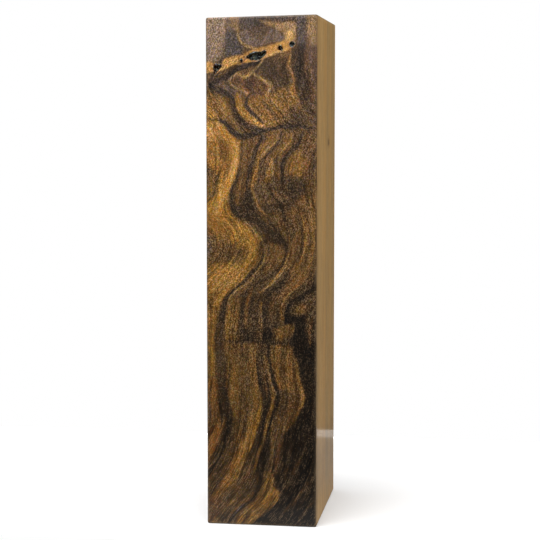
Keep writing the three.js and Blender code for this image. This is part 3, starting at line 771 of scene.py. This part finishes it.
def corner_columns(m, zs, middle, start_angle, with_last=False):
    """Columns of vertices round an upright edge."""
    columns = []
    for k in range(1, ARC_STEPS + with_last):
        angle = math.radians(start_angle + 90 * k / ARC_STEPS)
        x = middle[0] + EDGE_ROUND * math.cos(angle)
        y = middle[1] + EDGE_ROUND * math.sin(angle)
        columns.append(m.column(x, y, zs))
    return columns


def block_mesh():
    """All faces of the block. Seen from outside, columns run anticlockwise: front, right, back, left."""
    m = MeshBuilder()
    z_fine = spaced(END_EASE, HEIGHT - END_EASE, FRONT_STEP)
    z_wide = spaced(END_EASE, HEIGHT - END_EASE, SIDE_STEP)
    side_start = -FLAT_Y + CORNER_GAP
    front = [list(column) for column in zip(*front_grid(m, spaced(-FLAT_X, FLAT_X, FRONT_STEP), z_fine))]
    front_right = corner_columns(m, z_fine, (FLAT_X, -FLAT_Y), -90, with_last=True)
    right = [m.column(WIDTH / 2, y, z_wide) for y in spaced(side_start, FLAT_Y, RIGHT_STEP)]
    right_back = corner_columns(m, z_wide, (FLAT_X, FLAT_Y), 0)
    back = [m.column(x, DEPTH / 2, z_wide) for x in spaced(-FLAT_X, FLAT_X, SIDE_STEP)[::-1]]
    back_left = corner_columns(m, z_wide, (-FLAT_X, FLAT_Y), 90)
    left = [m.column(-WIDTH / 2, y, z_wide) for y in spaced(side_start, FLAT_Y, SIDE_STEP)[::-1]]
    left_front = [m.column(-WIDTH / 2, -FLAT_Y, z_fine)]
    left_front += corner_columns(m, z_fine, (-FLAT_X, -FLAT_Y), 180)

    m.join_columns([front[-1], *front_right])
    m.zip_lines(front_right[-1], right[0], z_fine, z_wide, flip=True)
    m.join_columns([*right, *right_back, *back, *back_left, *left])
    m.zip_lines(left[-1], left_front[0], z_wide, z_fine, flip=True)
    m.join_columns([*left_front, front[0]])

    ring = [*front, *front_right, *right, *right_back, *back, *back_left, *left, *left_front]
    close_end(m, [column[-1] for column in ring], top=True)
    close_end(m, [column[0] for column in ring], top=False)
    return m


def outward(x, y):
    """The outward direction of the block's outline at a point of it."""
    dx, dy = x - np.clip(x, -FLAT_X, FLAT_X), y - np.clip(y, -FLAT_Y, FLAT_Y)
    length = math.hypot(dx, dy)
    return dx / length, dy / length


def close_end(m, ring, top):
    """The eased edge round one end, and the end face."""
    places = [m.points[v] for v in ring]
    loops = [ring]
    for k in range(1, EASE_STEPS + 1):
        angle = math.radians(90 * k / EASE_STEPS)
        inset, rise = END_EASE * (1 - math.cos(angle)), END_EASE * math.sin(angle)
        z = HEIGHT - END_EASE + rise if top else END_EASE - rise
        loop = []
        for x, y, _ in places:
            nx, ny = outward(x, y)
            loop.append(m.add(x - inset * nx, y - inset * ny, z))
        loops.append(loop)
    m.grid([loop + loop[:1] for loop in loops], flip=not top)

    z = HEIGHT if top else 0.0
    cap_x = spaced(-WIDTH / 2 + CAP_MARGIN, WIDTH / 2 - CAP_MARGIN, END_STEP)
    cap_y = spaced(-DEPTH / 2 + CAP_MARGIN, DEPTH / 2 - CAP_MARGIN, END_STEP)
    cap = [[m.add(x, y, z) for x in cap_x] for y in cap_y]
    m.grid(cap, flip=not top)
    zip_cap(m, loops[-1], cap, flip=not top)


def zip_cap(m, loop, cap, flip):
    """Triangles between the last loop of an eased edge and the four edges of the end's grid."""
    corners = [furthest_towards(m, loop, x, y) for x, y in ((-1, -1), (1, -1), (1, 1), (-1, 1))]
    # Each edge, the axis it runs along, and which way
    edges = [
        (cap[0], 0, 1),
        ([row[-1] for row in cap], 1, 1),
        (cap[-1][::-1], 0, -1),
        ([row[0] for row in cap][::-1], 1, -1),
    ]
    for k, (edge, axis, way) in enumerate(edges):
        start, stop = corners[k], corners[(k + 1) % 4]
        arc = loop[start : stop + 1] if start < stop else loop[start:] + loop[: stop + 1]
        at_arc = [way * m.points[v][axis] for v in arc]
        at_edge = [way * m.points[v][axis] for v in edge]
        m.zip_lines(arc, edge, at_arc, at_edge, flip)


def furthest_towards(m, loop, x, y):
    """Place in a loop of the vertex that lies furthest in the direction (x, y)."""
    return int(np.argmax([m.points[v][0] * x + m.points[v][1] * y for v in loop]))


def out_of_square(p):
    """The top drops towards the left, because the saw ran out of square."""
    p[:, 2] *= 1 - TOP_DROP / HEIGHT * (0.5 - p[:, 0] / WIDTH)
    return p


# The figure

class Grain:
    """A smooth height over the front face whose contours run along the grain, in millimetres."""

    CELL = 0.5
    MARGIN = 12
    FALL = 1.6  # how fast a line's pull falls off with the distance
    SOFTEN = 0.7  # keeps the pull finite on the line itself
    WIDEST = 1.5  # wider lines pull no more than this one

    def __init__(self):
        self.low = -self.MARGIN
        xs = self.low + self.CELL * np.arange(int((WIDTH + 2 * self.MARGIN) / self.CELL))
        zs = self.low + self.CELL * np.arange(int((HEIGHT + 2 * self.MARGIN) / self.CELL))
        gx, gz = np.meshgrid(xs, zs, indexing="ij")
        right, up = np.zeros(gx.shape), np.zeros(gx.shape)
        for (x, z), (way_x, way_z), weight in self.samples():
            pull = weight / ((gx - x) ** 2 + (gz - z) ** 2 + self.SOFTEN) ** self.FALL
            right += pull * way_x
            up += pull * way_z
        length = np.hypot(right, up) + 1e-9
        # Left of the way down is the way the height rises.
        self.height = self.integrate(-up / length, right / length)

    def samples(self):
        """The middle, direction and weight of each short piece of the guide lines."""
        lines = [(points, min(width, self.WIDEST)) for _, width, _, _, points in LINES]
        lines += [(points, 1.0) for points in GRAIN_ONLY]
        for points, weight in lines:
            line = curve_through(points, 4)
            step = np.diff(line, axis=0)
            length = np.hypot(*step.T)
            yield from zip((line[:-1] + line[1:]) / 2, step / length[:, None], weight * length)

    def integrate(self, right, up):
        """The height whose slope comes nearest to (right, up), with mirrored borders."""
        half_x = (right[1:] + right[:-1]) / 2
        half_z = (up[:, 1:] + up[:, :-1]) / 2
        source = np.zeros(right.shape)
        source[:-1] += half_x
        source[1:] -= half_x
        source[:, :-1] += half_z
        source[:, 1:] -= half_z
        nx, nz = source.shape
        wide = np.concatenate([source, source[::-1]], 0)
        spectrum = np.fft.fft2(np.concatenate([wide, wide[:, ::-1]], 1))
        scale_x, scale_z = (2 - 2 * np.cos(np.pi * np.arange(2 * n) / n) for n in (nx, nz))
        scale = scale_x[:, None] + scale_z[None, :]
        scale[0, 0] = 1
        spectrum /= scale
        spectrum[0, 0] = 0
        return -np.real(np.fft.ifft2(spectrum))[:nx, :nz] * self.CELL

    def at(self, points):
        """The height at each (x, z), by smooth interpolation."""
        place = np.clip((points - self.low) / self.CELL, 1, np.array(self.height.shape) - 3)
        cell = np.floor(place).astype(int)
        weights = cubic_weights(place - cell)
        total = np.zeros(len(points))
        for a, b in np.ndindex(4, 4):
            near = self.height[cell[:, 0] + a - 1, cell[:, 1] + b - 1]
            total += weights[a][:, 0] * weights[b][:, 1] * near
        return total


def cubic_weights(t):
    """Weights of four neighbours in a row, for a place t of the way between the middle two."""
    return [
        (1 - t) ** 3 / 6,
        (3 * t**3 - 6 * t**2 + 4) / 6,
        (-3 * t**3 + 3 * t**2 + 3 * t + 1) / 6,
        t**3 / 6,
    ]


def mirrored(v, low, high):
    """Folds v back between low and high."""
    span = high - low
    t = np.mod(v - low, 2 * span)
    return low + np.where(t > span, 2 * span - t, t)


def figure_place(p):
    """Where on the drawn figure each point of the solid falls, as (x, z)."""
    back = p[:, 1] - FRONT_Y
    bend = smoothstep(0, 30, back)
    x = p[:, 0] + WIDTH / 2 + DRIFT_X * back + BEND_X * bend * fractal(p, 22, 2, SEED + 1)
    z = p[:, 2] + DRIFT_Z * back + BEND_Z * bend * fractal(p, 30, 2, SEED + 2)
    z = z - FOLD_SLANT * np.maximum(x - WIDTH - 0.6, 0)
    return np.c_[mirrored(x, -0.6, WIDTH + 0.6), mirrored(z, -1.5, HEIGHT + 1.5)]


def ragged_place(place, p):
    """The same place moved a little, so that no edge of the figure is smooth."""
    dx = 0.28 * fractal(p, 2.6, 2, SEED + 3) + 0.08 * fractal(p, 0.7, 2, SEED + 4)
    dz = 0.28 * fractal(p, 2.6, 2, SEED + 5) + 0.08 * fractal(p, 0.7, 2, SEED + 6)
    return place + np.c_[dx, dz]


def linear(values):
    """An sRGB colour out of 255 as linear light."""
    c = np.array(values) / 255
    return np.where(c <= 0.04045, c / 12.92, ((c + 0.055) / 1.055) ** 2.4)


def blended(colour, other, amount):
    """One colour moved towards another by an amount from 0 to 1."""
    return colour + (other - colour) * amount[:, None]


def mix(colour, tone, amount):
    """A colour moved towards a named tone."""
    return blended(colour, linear(TONES[tone]), amount)


def base_colour(place, ring, p):
    """Thin rings of brown wood, lighter and warmer towards the top."""
    rings = np.c_[ring * 0.9, place * 0.05]
    lightness = 0.5 + 0.5 * fractal(rings, 1.0, 3, SEED + 7) + 0.25 * fractal(p, 6, 2, SEED + 8)
    lightness = lightness - 0.12 * (1 - smoothstep(10, 110, place[:, 1]))
    colour = np.tile(linear(TONES["dark"]), (len(p), 1))
    for tone, low, high in BASE_TONES:
        colour = mix(colour, tone, smoothstep(low, high, lightness))
    return colour


def painted(place, ring, p):
    """The colour of the figure at each place, with a painted sheen over the upper end."""
    colour = base_colour(place, ring, p)
    patchy = fractal(np.c_[place[:, 0], ring, place[:, 1]], 1.8, 3, SEED + 9)
    for tone, soft, strength, outline in AREAS:
        shape = curve_through(outline, 4, closed=True)
        near = within_reach(place, shape, soft)
        within = depth_inside(place[near], shape) + 0.35 * soft * patchy[near]
        colour[near] = mix(colour[near], tone, strength * smoothstep(-soft, soft, within))
    for tone, width, soft, strength, points in LINES + FOLDS:
        line = curve_through(points, 5)
        near = within_reach(place, line, width / 2 + soft)
        distance, along = nearest_on(place[near], line)
        half = width / 2 * (0.45 + 0.55 * np.sin(math.pi * np.clip(along, 0.02, 0.98)) ** 0.6)
        edge = 0.75 * soft
        beyond = distance - half + 0.3 * edge * patchy[near]
        colour[near] = mix(colour[near], tone, strength * (1 - smoothstep(-edge, edge, beyond)))
    light = np.interp(place[:, 1], *HEART_LIGHT)
    # The added part is a painted sheen: pale reflected light over the upper end
    return colour * light[:, None] + np.outer(smoothstep(80, 118, place[:, 1]), UPPER_PAINTED_SHEEN)


def sapwood_share(p):
    """1 in the pale sapwood behind the right face, which thickens towards the back."""
    back = p[:, 1] - FRONT_Y
    thick = 0.12 + SAP_THICK * smoothstep(0, 60, back)
    thick = thick + 0.5 * fractal(p * [1, 1, 0.25], 9, 2, SEED + 20) * smoothstep(2, 14, back)
    from_right = WIDTH / 2 - p[:, 0]
    return smoothstep(0.22, -0.22, from_right - thick) * smoothstep(0.1, 0.5, back)


def sapwood_colour(p):
    """Straight pale grain: soft upright stripes over thin ones, one pin knot, and painted shade towards the
    base.
    """
    back = p[:, 1] - FRONT_Y - 0.35 * (p[:, 0] - WIDTH / 2)
    back = back + 2.2 * fractal(p * [1, 1, 0.4], 30, 3, SEED + 22)
    stops = [stop for stop, _ in SAP_STRIPES]
    tones = np.array([linear(TONES[tone]) for _, tone in SAP_STRIPES])
    colour = np.column_stack([np.interp(back, stops, channel) for channel in tones.T])
    patches = fractal(np.c_[back, p[:, 2] * 0.16, p[:, 2] * 0.05], 3.4, 3, SEED + 21)
    threads = fractal(np.c_[back, p[:, 2] * 0.02, p[:, 2] * 0.012], 1.0, 2, SEED + 23)
    colour = mix(colour, "sap_grey", 0.35 * smoothstep(0.02, 0.4, -patches))
    colour = mix(colour, "sap_warm", 0.3 * smoothstep(0.02, 0.4, patches))
    colour = mix(colour, "sap_brown", 0.4 * smoothstep(0.1, 0.6, threads))
    # painted shade: darker towards the base
    colour = colour * np.interp(p[:, 2], *SAP_PAINTED_SHADE)[:, None]
    from_knot = (p[:, 1:] - PIN_KNOT) / PIN_KNOT_SIZE
    knot = np.hypot(*from_knot.T)
    on_right = p[:, 0] > 0
    colour = mix(colour, "sap_brown", 0.5 * (1 - smoothstep(0.8, 3, knot)) * on_right)
    return mix(colour, "umber", (1 - smoothstep(0.4, 1, knot)) * on_right)


def round_the_voids(colour, p):
    """Rims, crusted insides and painted glints of the voids, and how far each point is inside one, 0 to 1.
    """
    hollow = np.zeros(len(p))
    on_front = p[:, 1] < FRONT_Y + CHECK_DEPTH + 0.1
    place = p[:, [0, 2]]
    ragged = void_ragging(place)
    crust = smoothstep(-0.15, 0.4, fractal(p, 0.55, 2, SEED + 31))
    # where the voids get painted glints
    painted_glints = smoothstep(0.3, 0.55, fractal(p, 0.32, 1, SEED + 34))
    broken = smoothstep(-0.2, 0.4, fractal(p, 1.6, 2, SEED + 35))
    for tone, middle, _, outline in VOIDS:
        shape = curve_through(outline, 6, closed=True) + middle
        near = on_front & (np.abs(place - middle).max(1) < VOID_REACH)
        within = depth_inside(place[near], shape) + ragged[near]
        stain = smoothstep(-0.5, -0.08, within) * (0.5 + 0.5 * broken[near])
        rim = smoothstep(-0.35, -0.12, within) * smoothstep(0.05, -0.08, within) * (1 - broken[near])
        floor = np.tile(linear(TONES["pit"]), (len(within), 1))
        floor = mix(floor, tone, 0.9 * crust[near])
        floor = mix(floor, "painted_glint", 0.8 * painted_glints[near])
        amount = smoothstep(-0.08, 0.08, within)
        colour[near] = mix(colour[near], "maroon", 0.5 * stain)
        colour[near] = mix(colour[near], "rim", 0.35 * rim)
        colour[near] = blended(colour[near], floor, amount)
        hollow[near] = np.maximum(hollow[near], amount)
    return colour, hollow


def front_corner(p):
    """How far each point is round one of the two upright front edges, in millimetres."""
    beside = np.abs(p[:, 0]) - FLAT_X
    before = -FLAT_Y - p[:, 1]
    return np.maximum(np.minimum(beside, before), 0)


def edge_wear(p):
    """1 on the rubbed parts of the edges."""
    half = np.array([WIDTH, DEPTH, HEIGHT]) / 2
    beyond = np.abs(p - [0, 0, HEIGHT / 2]) - half
    edge = np.sort(smoothstep(-0.9, -0.1, beyond), axis=1)[:, 1]
    rubbed = smoothstep(-0.2, 0.5, fractal(p, 5, 3, SEED + 33))
    return edge * (0.25 + 0.75 * rubbed)


def wood_colour(p, place, ring, sap, ends):
    """The colour at each point, and how far it is inside a void."""
    colour = painted(ragged_place(place, p), ring, p)
    colour = blended(colour, sapwood_colour(p), sap)
    colour, hollow = round_the_voids(colour, p)
    # painted shade on the round front edges
    colour = colour * (1 - CORNER_PAINTED_SHADE * smoothstep(0.1, 0.4, front_corner(p)))[:, None]
    return colour * (1 - END_DARKER * ends)[:, None], hollow


def vertex_fields(p):
    """Everything that the material reads from the vertices."""
    place = figure_place(p)
    ring = Grain().at(place)
    sap = sapwood_share(p)
    beyond = np.abs(p[:, 2] - HEIGHT / 2 + 0.3 * TOP_DROP) - HEIGHT / 2
    ends = smoothstep(-0.35, -0.05, beyond)
    colour, hollow = wood_colour(p, place, ring, sap, ends)
    straight = p[:, 1] * 0.9 - p[:, 0] * 0.4

    # Shares of the upper end under the painted sheen, the dark wood near the base, wood that isn't black,
    # and calm light wood
    painted_sheen = smoothstep(118, 130, place[:, 1])
    low = 1 - smoothstep(14, 48, place[:, 1] + 6 * fractal(p, 12, 2, SEED + 30))
    lit = smoothstep(0.003, 0.014, colour[:, 1])
    calm = np.maximum(smoothstep(126, 132, place[:, 1]), smoothstep(0.1, 0.25, colour[:, 1]))
    patchy = 0.72 + 0.35 * fractal(p, 7, 2, SEED + 32)
    heart = (1 - sap) * (1 - hollow)
    speckle = (1 - 0.15 * low - 0.12 * painted_sheen) * patchy * heart * (1 - 0.4 * ends)
    return {
        "figure": colour,
        "ring": np.where(sap > 0.5, straight, ring),
        "sapwood": sap,
        "hollow": hollow,
        "wear": edge_wear(p),
        "streaks": (1 + 0.3 * low - 0.55 * calm) * heart + SAP_STREAKS * sap * (1 - hollow),
        "speckle": speckle,
        "granular": 1 - 0.6 * low,
        "tinted": (1 - 0.45 * painted_sheen) * (1 - 0.8 * sap),
        "glints": speckle * np.maximum(lit, 0.4 + 0.5 * low) * (1 - 0.3 * painted_sheen) * (1 - 0.25 * low),
    }


# Materials

class Nodes:
    """Short calls for building a node tree."""

    def __init__(self, material):
        material.use_nodes = True
        self.tree = material.node_tree
        self.shader = self.tree.nodes["Principled BSDF"]

    def add(self, kind, **settings):
        node = self.tree.nodes.new(kind)
        for key, value in settings.items():
            setattr(node, key, value)
        return node

    def feed(self, socket, value):
        """Links another node's output to a socket, or sets the socket's own value."""
        if hasattr(value, "is_output"):
            self.tree.links.new(value, socket)
        else:
            socket.default_value = value

    def output_of(self, node, *values):
        """The first output of a node whose first inputs get the values."""
        for socket, value in zip(node.inputs, values):
            self.feed(socket, value)
        return node.outputs[0]

    def attribute(self, name, output="Fac"):
        return self.add("ShaderNodeAttribute", attribute_name=name).outputs[output]

    def math(self, operation, *values, clamp=False):
        return self.output_of(self.add("ShaderNodeMath", operation=operation, use_clamp=clamp), *values)

    def vector_math(self, operation, *values):
        return self.output_of(self.add("ShaderNodeVectorMath", operation=operation), *values)

    def scaled(self, colour, factor):
        node = self.add("ShaderNodeVectorMath", operation="SCALE")
        self.feed(node.inputs["Scale"], factor)
        return self.output_of(node, colour)

    def ramp(self, value, low, high, to_low=0.0, to_high=1.0):
        node = self.add("ShaderNodeMapRange", interpolation_type="SMOOTHSTEP")
        return self.output_of(node, value, low, high, to_low, to_high)

    def mix(self, factor, a, b, blend="MIX"):
        node = self.add("ShaderNodeMix", data_type="RGBA", blend_type=blend)
        for index, value in ((0, factor), (6, a), (7, b)):
            self.feed(node.inputs[index], value)
        return node.outputs[2]

    def grain_noise(self, place, ring, length, width, detail, shift):
        """Noise drawn out along the grain, with features of length by width millimetres."""
        node = self.add("ShaderNodeTexNoise", noise_dimensions="4D")
        node.inputs["Scale"].default_value = 1.0
        node.inputs["Detail"].default_value = detail
        self.feed(node.inputs["Vector"], self.scaled(place, 1 / (length * MM)))
        self.feed(node.inputs["W"], self.math("MULTIPLY_ADD", ring, 1 / width, shift))
        return node

    def ridge(self, noise, inner, outer):
        """1 along the thin lines where a noise passes through its middle value."""
        distance = self.math("ABSOLUTE", self.math("SUBTRACT", noise, 0.5))
        return self.ramp(distance, inner, outer, 1.0, 0.0)


def shader_colour(tone):
    """A named tone as a shader socket takes it."""
    return (*map(float, linear(TONES[tone])), 1.0)


def streak_tone(n, noise, pores):
    """Brightness of the streaks, pores and threads that run along the grain."""
    threads = n.math("MULTIPLY", n.ridge(noise["thread"], 0.01, 0.075), n.ramp(noise["fade"], 0.38, 0.5))
    pale_ridge = n.ridge(noise["pale_thread"], 0.005, 0.05)
    pale_threads = n.math("MULTIPLY", pale_ridge, n.ramp(noise["fade"], 0.62, 0.5))
    tone = n.ramp(noise["broad"], 0.3, 0.7, 0.86, 1.14)
    # Share of each mark, and the brightness where it is none and all
    for share, none, full in (
        (n.ramp(noise["fine"], 0.32, 0.68), 0.78, 1.22),
        (pores, 1.04, 0.68),
        (threads, 1.06, 0.56),
        (pale_threads, 1.0, 1.35),
    ):
        tone = n.math("MULTIPLY", tone, n.ramp(share, 0, 1, none, full))
    return tone


def speck_tone(n, grains, speckle):
    """Brightness of the fine light and dark specks."""
    light = n.math("MULTIPLY", n.ramp(grains, 0.53, 0.65), speckle)
    dark = n.math("MULTIPLY", n.ramp(grains, 0.47, 0.35), speckle)
    return n.math("MULTIPLY", n.ramp(light, 0, 1, 1.0, LIGHT_SPECK), n.ramp(dark, 0, 1, 1.0, DARK_SPECK))


def grain_shades(n, grains, warm, hues):
    """Small shifts of colour from grain to grain, as factors."""
    jitter = n.vector_math("MULTIPLY_ADD", hues, HUE_SPREAD, HUE_BASE)
    tint = n.mix(n.ramp(warm, 0.38, 0.62), COOL_TINT, WARM_TINT)
    dark_or_light = n.mix(n.ramp(grains, 0.36, 0.64), DARK_GRAIN_TINT, LIGHT_GRAIN_TINT)
    return n.mix(1.0, n.mix(1.0, tint, dark_or_light, "MULTIPLY"), jitter, "MULTIPLY")


def roughness(n, field, fine, pores):
    """Polished wood, duller in its pores, its sapwood, its voids and on rubbed edges."""
    total = n.ramp(fine, 0.3, 0.7, *POLISH_ROUGHNESS)
    for share, added in (
        (field["sapwood"], 0.45),
        (pores, 0.2),
        (field["wear"], 0.15),
        (field["hollow"], 0.2),
    ):
        total = n.math("MULTIPLY_ADD", share, added, total, clamp=True)
    return total


def fine_bump(n, fine, pores):
    """The slight relief that the pores leave in the polish."""
    bump = n.add("ShaderNodeBump")
    bump.inputs["Strength"].default_value = 0.25
    bump.inputs["Distance"].default_value = PORE_DEPTH * MM
    n.feed(bump.inputs["Height"], n.math("SUBTRACT", n.math("MULTIPLY", fine, 0.4), pores))
    return bump.outputs[0]


def walnut_material():
    material = bpy.data.materials.new("polished_walnut")
    n = Nodes(material)
    place = n.add("ShaderNodeTexCoord").outputs["Object"]
    field = {name: n.attribute(name) for name in SHADER_FIELDS}
    noises = {name: n.grain_noise(place, field["ring"], *sizes) for name, sizes in GRAIN_NOISES.items()}
    noise = {name: node.outputs[0] for name, node in noises.items()}
    hues = noises["hue"].outputs["Color"]
    fine = noise["fine"]
    pores = n.ramp(noise["pore"], 0.54, 0.7)
    # Round grains in most of the wood, and longer dashes near the base
    round_share = n.math("SUBTRACT", noise["fleck"], noise["dash"])
    grains = n.math("MULTIPLY_ADD", round_share, field["granular"], noise["dash"])

    streaks = n.math("SUBTRACT", streak_tone(n, noise, pores), 1.0)
    tone = n.math("MULTIPLY_ADD", streaks, field["streaks"], 1.0)
    tone = n.math("MULTIPLY", tone, speck_tone(n, grains, field["speckle"]))
    colour = n.scaled(n.attribute("figure", "Color"), tone)
    shades = grain_shades(n, grains, noise["warm"], hues)
    colour = n.mix(field["tinted"], colour, n.mix(1.0, colour, shades, "MULTIPLY"))
    sparks = n.math("MULTIPLY", n.ramp(grains, 0.54, 0.67), field["glints"])
    colour = n.mix(n.math("MULTIPLY", sparks, SPARK_SHARE), colour, shader_colour("spark"))
    colour = n.mix(n.math("MULTIPLY", field["wear"], WEAR_SHARE), colour, shader_colour("worn"))

    inputs = n.shader.inputs
    n.feed(inputs["Base Color"], colour)
    n.feed(inputs["Roughness"], roughness(n, field, fine, pores))
    n.feed(inputs["Normal"], fine_bump(n, fine, pores))
    inputs["Specular IOR Level"].default_value = 0.2
    inputs["Coat Weight"].default_value = 0.08
    inputs["Coat Roughness"].default_value = 0.1
    return material


# Putting it together

def add_to_scene(name, data):
    thing = bpy.data.objects.new(name, data)
    bpy.context.scene.collection.objects.link(thing)
    return thing


def store_field(mesh, name, values):
    """Keeps one number or one colour for each vertex."""
    if values.ndim == 2:
        layer = mesh.attributes.new(name, "FLOAT_COLOR", "POINT")
        opaque = np.c_[values, np.ones(len(values))]
        layer.data.foreach_set("color", opaque.astype(np.float32).ravel())
    else:
        layer = mesh.attributes.new(name, "FLOAT", "POINT")
        layer.data.foreach_set("value", values.astype(np.float32))


def make_block():
    m = block_mesh()
    p = np.array(m.points)
    on_front = p[:, 1] <= FRONT_Y + 1e-6
    p[on_front, 1] += voids_depth(p[on_front][:, [0, 2]])
    p = out_of_square(p)
    mesh = bpy.data.meshes.new("walnut")
    mesh.from_pydata((p * MM).tolist(), [], m.faces)
    mesh.validate()
    for name, values in vertex_fields(p).items():
        store_field(mesh, name, values)
    mesh.shade_smooth()
    mesh.materials.append(walnut_material())
    block = add_to_scene("walnut", mesh)
    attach(block, BODY)
    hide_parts(NODE)


def make_camera():
    data = bpy.data.cameras.new("camera")
    data.sensor_width = SENSOR
    data.lens = FOCAL_PIXELS * SENSOR / PHOTO_PIXELS
    data.clip_start = 0.01
    data.clip_end = 20
    camera = add_to_scene("camera", data)
    camera.location = Vector(CAMERA_AT) * MM
    camera.rotation_euler = (math.pi / 2 + CAMERA_PITCH, 0, CAMERA_YAW)
    bpy.context.scene.camera = camera


def make_floor():
    mesh = bpy.data.meshes.new("floor")
    corners = [
        (-FLOOR_HALF, FLOOR_FRONT),
        (FLOOR_HALF, FLOOR_FRONT),
        (FLOOR_HALF, FLOOR_BACK),
        (-FLOOR_HALF, FLOOR_BACK),
    ]
    mesh.from_pydata([(x * MM, y * MM, 0) for x, y in corners], [], [(0, 1, 2, 3)])
    material = bpy.data.materials.new("floor")
    inputs = Nodes(material).shader.inputs
    inputs["Base Color"].default_value = FLOOR_COLOUR
    inputs["Roughness"].default_value = 0.95
    inputs["Specular IOR Level"].default_value = 0.05
    mesh.materials.append(material)
    add_to_scene("floor", mesh)


def make_sky():
    """White behind the block. As light it is a soft sky, brightest overhead and dim near the horizon."""
    world = bpy.data.worlds.new("studio")
    world.use_nodes = True
    tree = world.node_tree
    background = tree.nodes["Background"]
    background.inputs["Color"].default_value = (1, 1, 1, 1)
    direction = tree.nodes.new("ShaderNodeTexCoord").outputs["Generated"]
    height = tree.nodes.new("ShaderNodeSeparateXYZ")
    tree.links.new(direction, height.inputs[0])
    glow = tree.nodes.new("ShaderNodeMapRange")
    glow.interpolation_type = "SMOOTHSTEP"
    for name, value in (("From Min", 0.1), ("From Max", 0.8), ("To Min", SKY_LOW), ("To Max", SKY_HIGH)):
        glow.inputs[name].default_value = value
    tree.links.new(height.outputs["Z"], glow.inputs["Value"])
    seen = tree.nodes.new("ShaderNodeLightPath").outputs["Is Camera Ray"]
    amount = tree.nodes.new("ShaderNodeMapRange")
    amount.inputs["To Max"].default_value = 1.0
    tree.links.new(seen, amount.inputs["Value"])
    tree.links.new(glow.outputs[0], amount.inputs["To Min"])
    tree.links.new(amount.outputs[0], background.inputs["Strength"])
    bpy.context.scene.world = world


def make_edge_glow():
    """A narrow bright edge at the back of the table, seen only as a reflection in the side."""
    data = bpy.data.lights.new("edge_glow", "AREA")
    data.shape = "RECTANGLE"
    data.size = 2 * FLOOR_HALF * MM
    data.size_y = GLOW_HEIGHT * MM
    data.energy = GLOW_LIGHT * math.pi * data.size * data.size_y
    glow = add_to_scene("edge_glow", data)
    glow.location = (0, FLOOR_BACK * MM, GLOW_HEIGHT * MM / 2)
    glow.rotation_euler = (math.radians(-90), 0, 0)
    glow.visible_camera = False


def make_suns():
    for name, strength, spread, turn, rise in SUNS:
        data = bpy.data.lights.new(name, "SUN")
        data.energy = strength * math.pi
        data.angle = math.radians(spread)
        turn, rise = math.radians(turn), math.radians(rise)
        level = math.cos(rise)
        towards = Vector((math.sin(turn) * level, -math.cos(turn) * level, math.sin(rise)))
        add_to_scene(name, data).rotation_euler = towards.to_track_quat("Z", "Y").to_euler()


make_camera()
make_block()
make_floor()
make_sky()
make_edge_glow()
make_suns()
bpy.context.scene.view_settings.view_transform = "Standard"
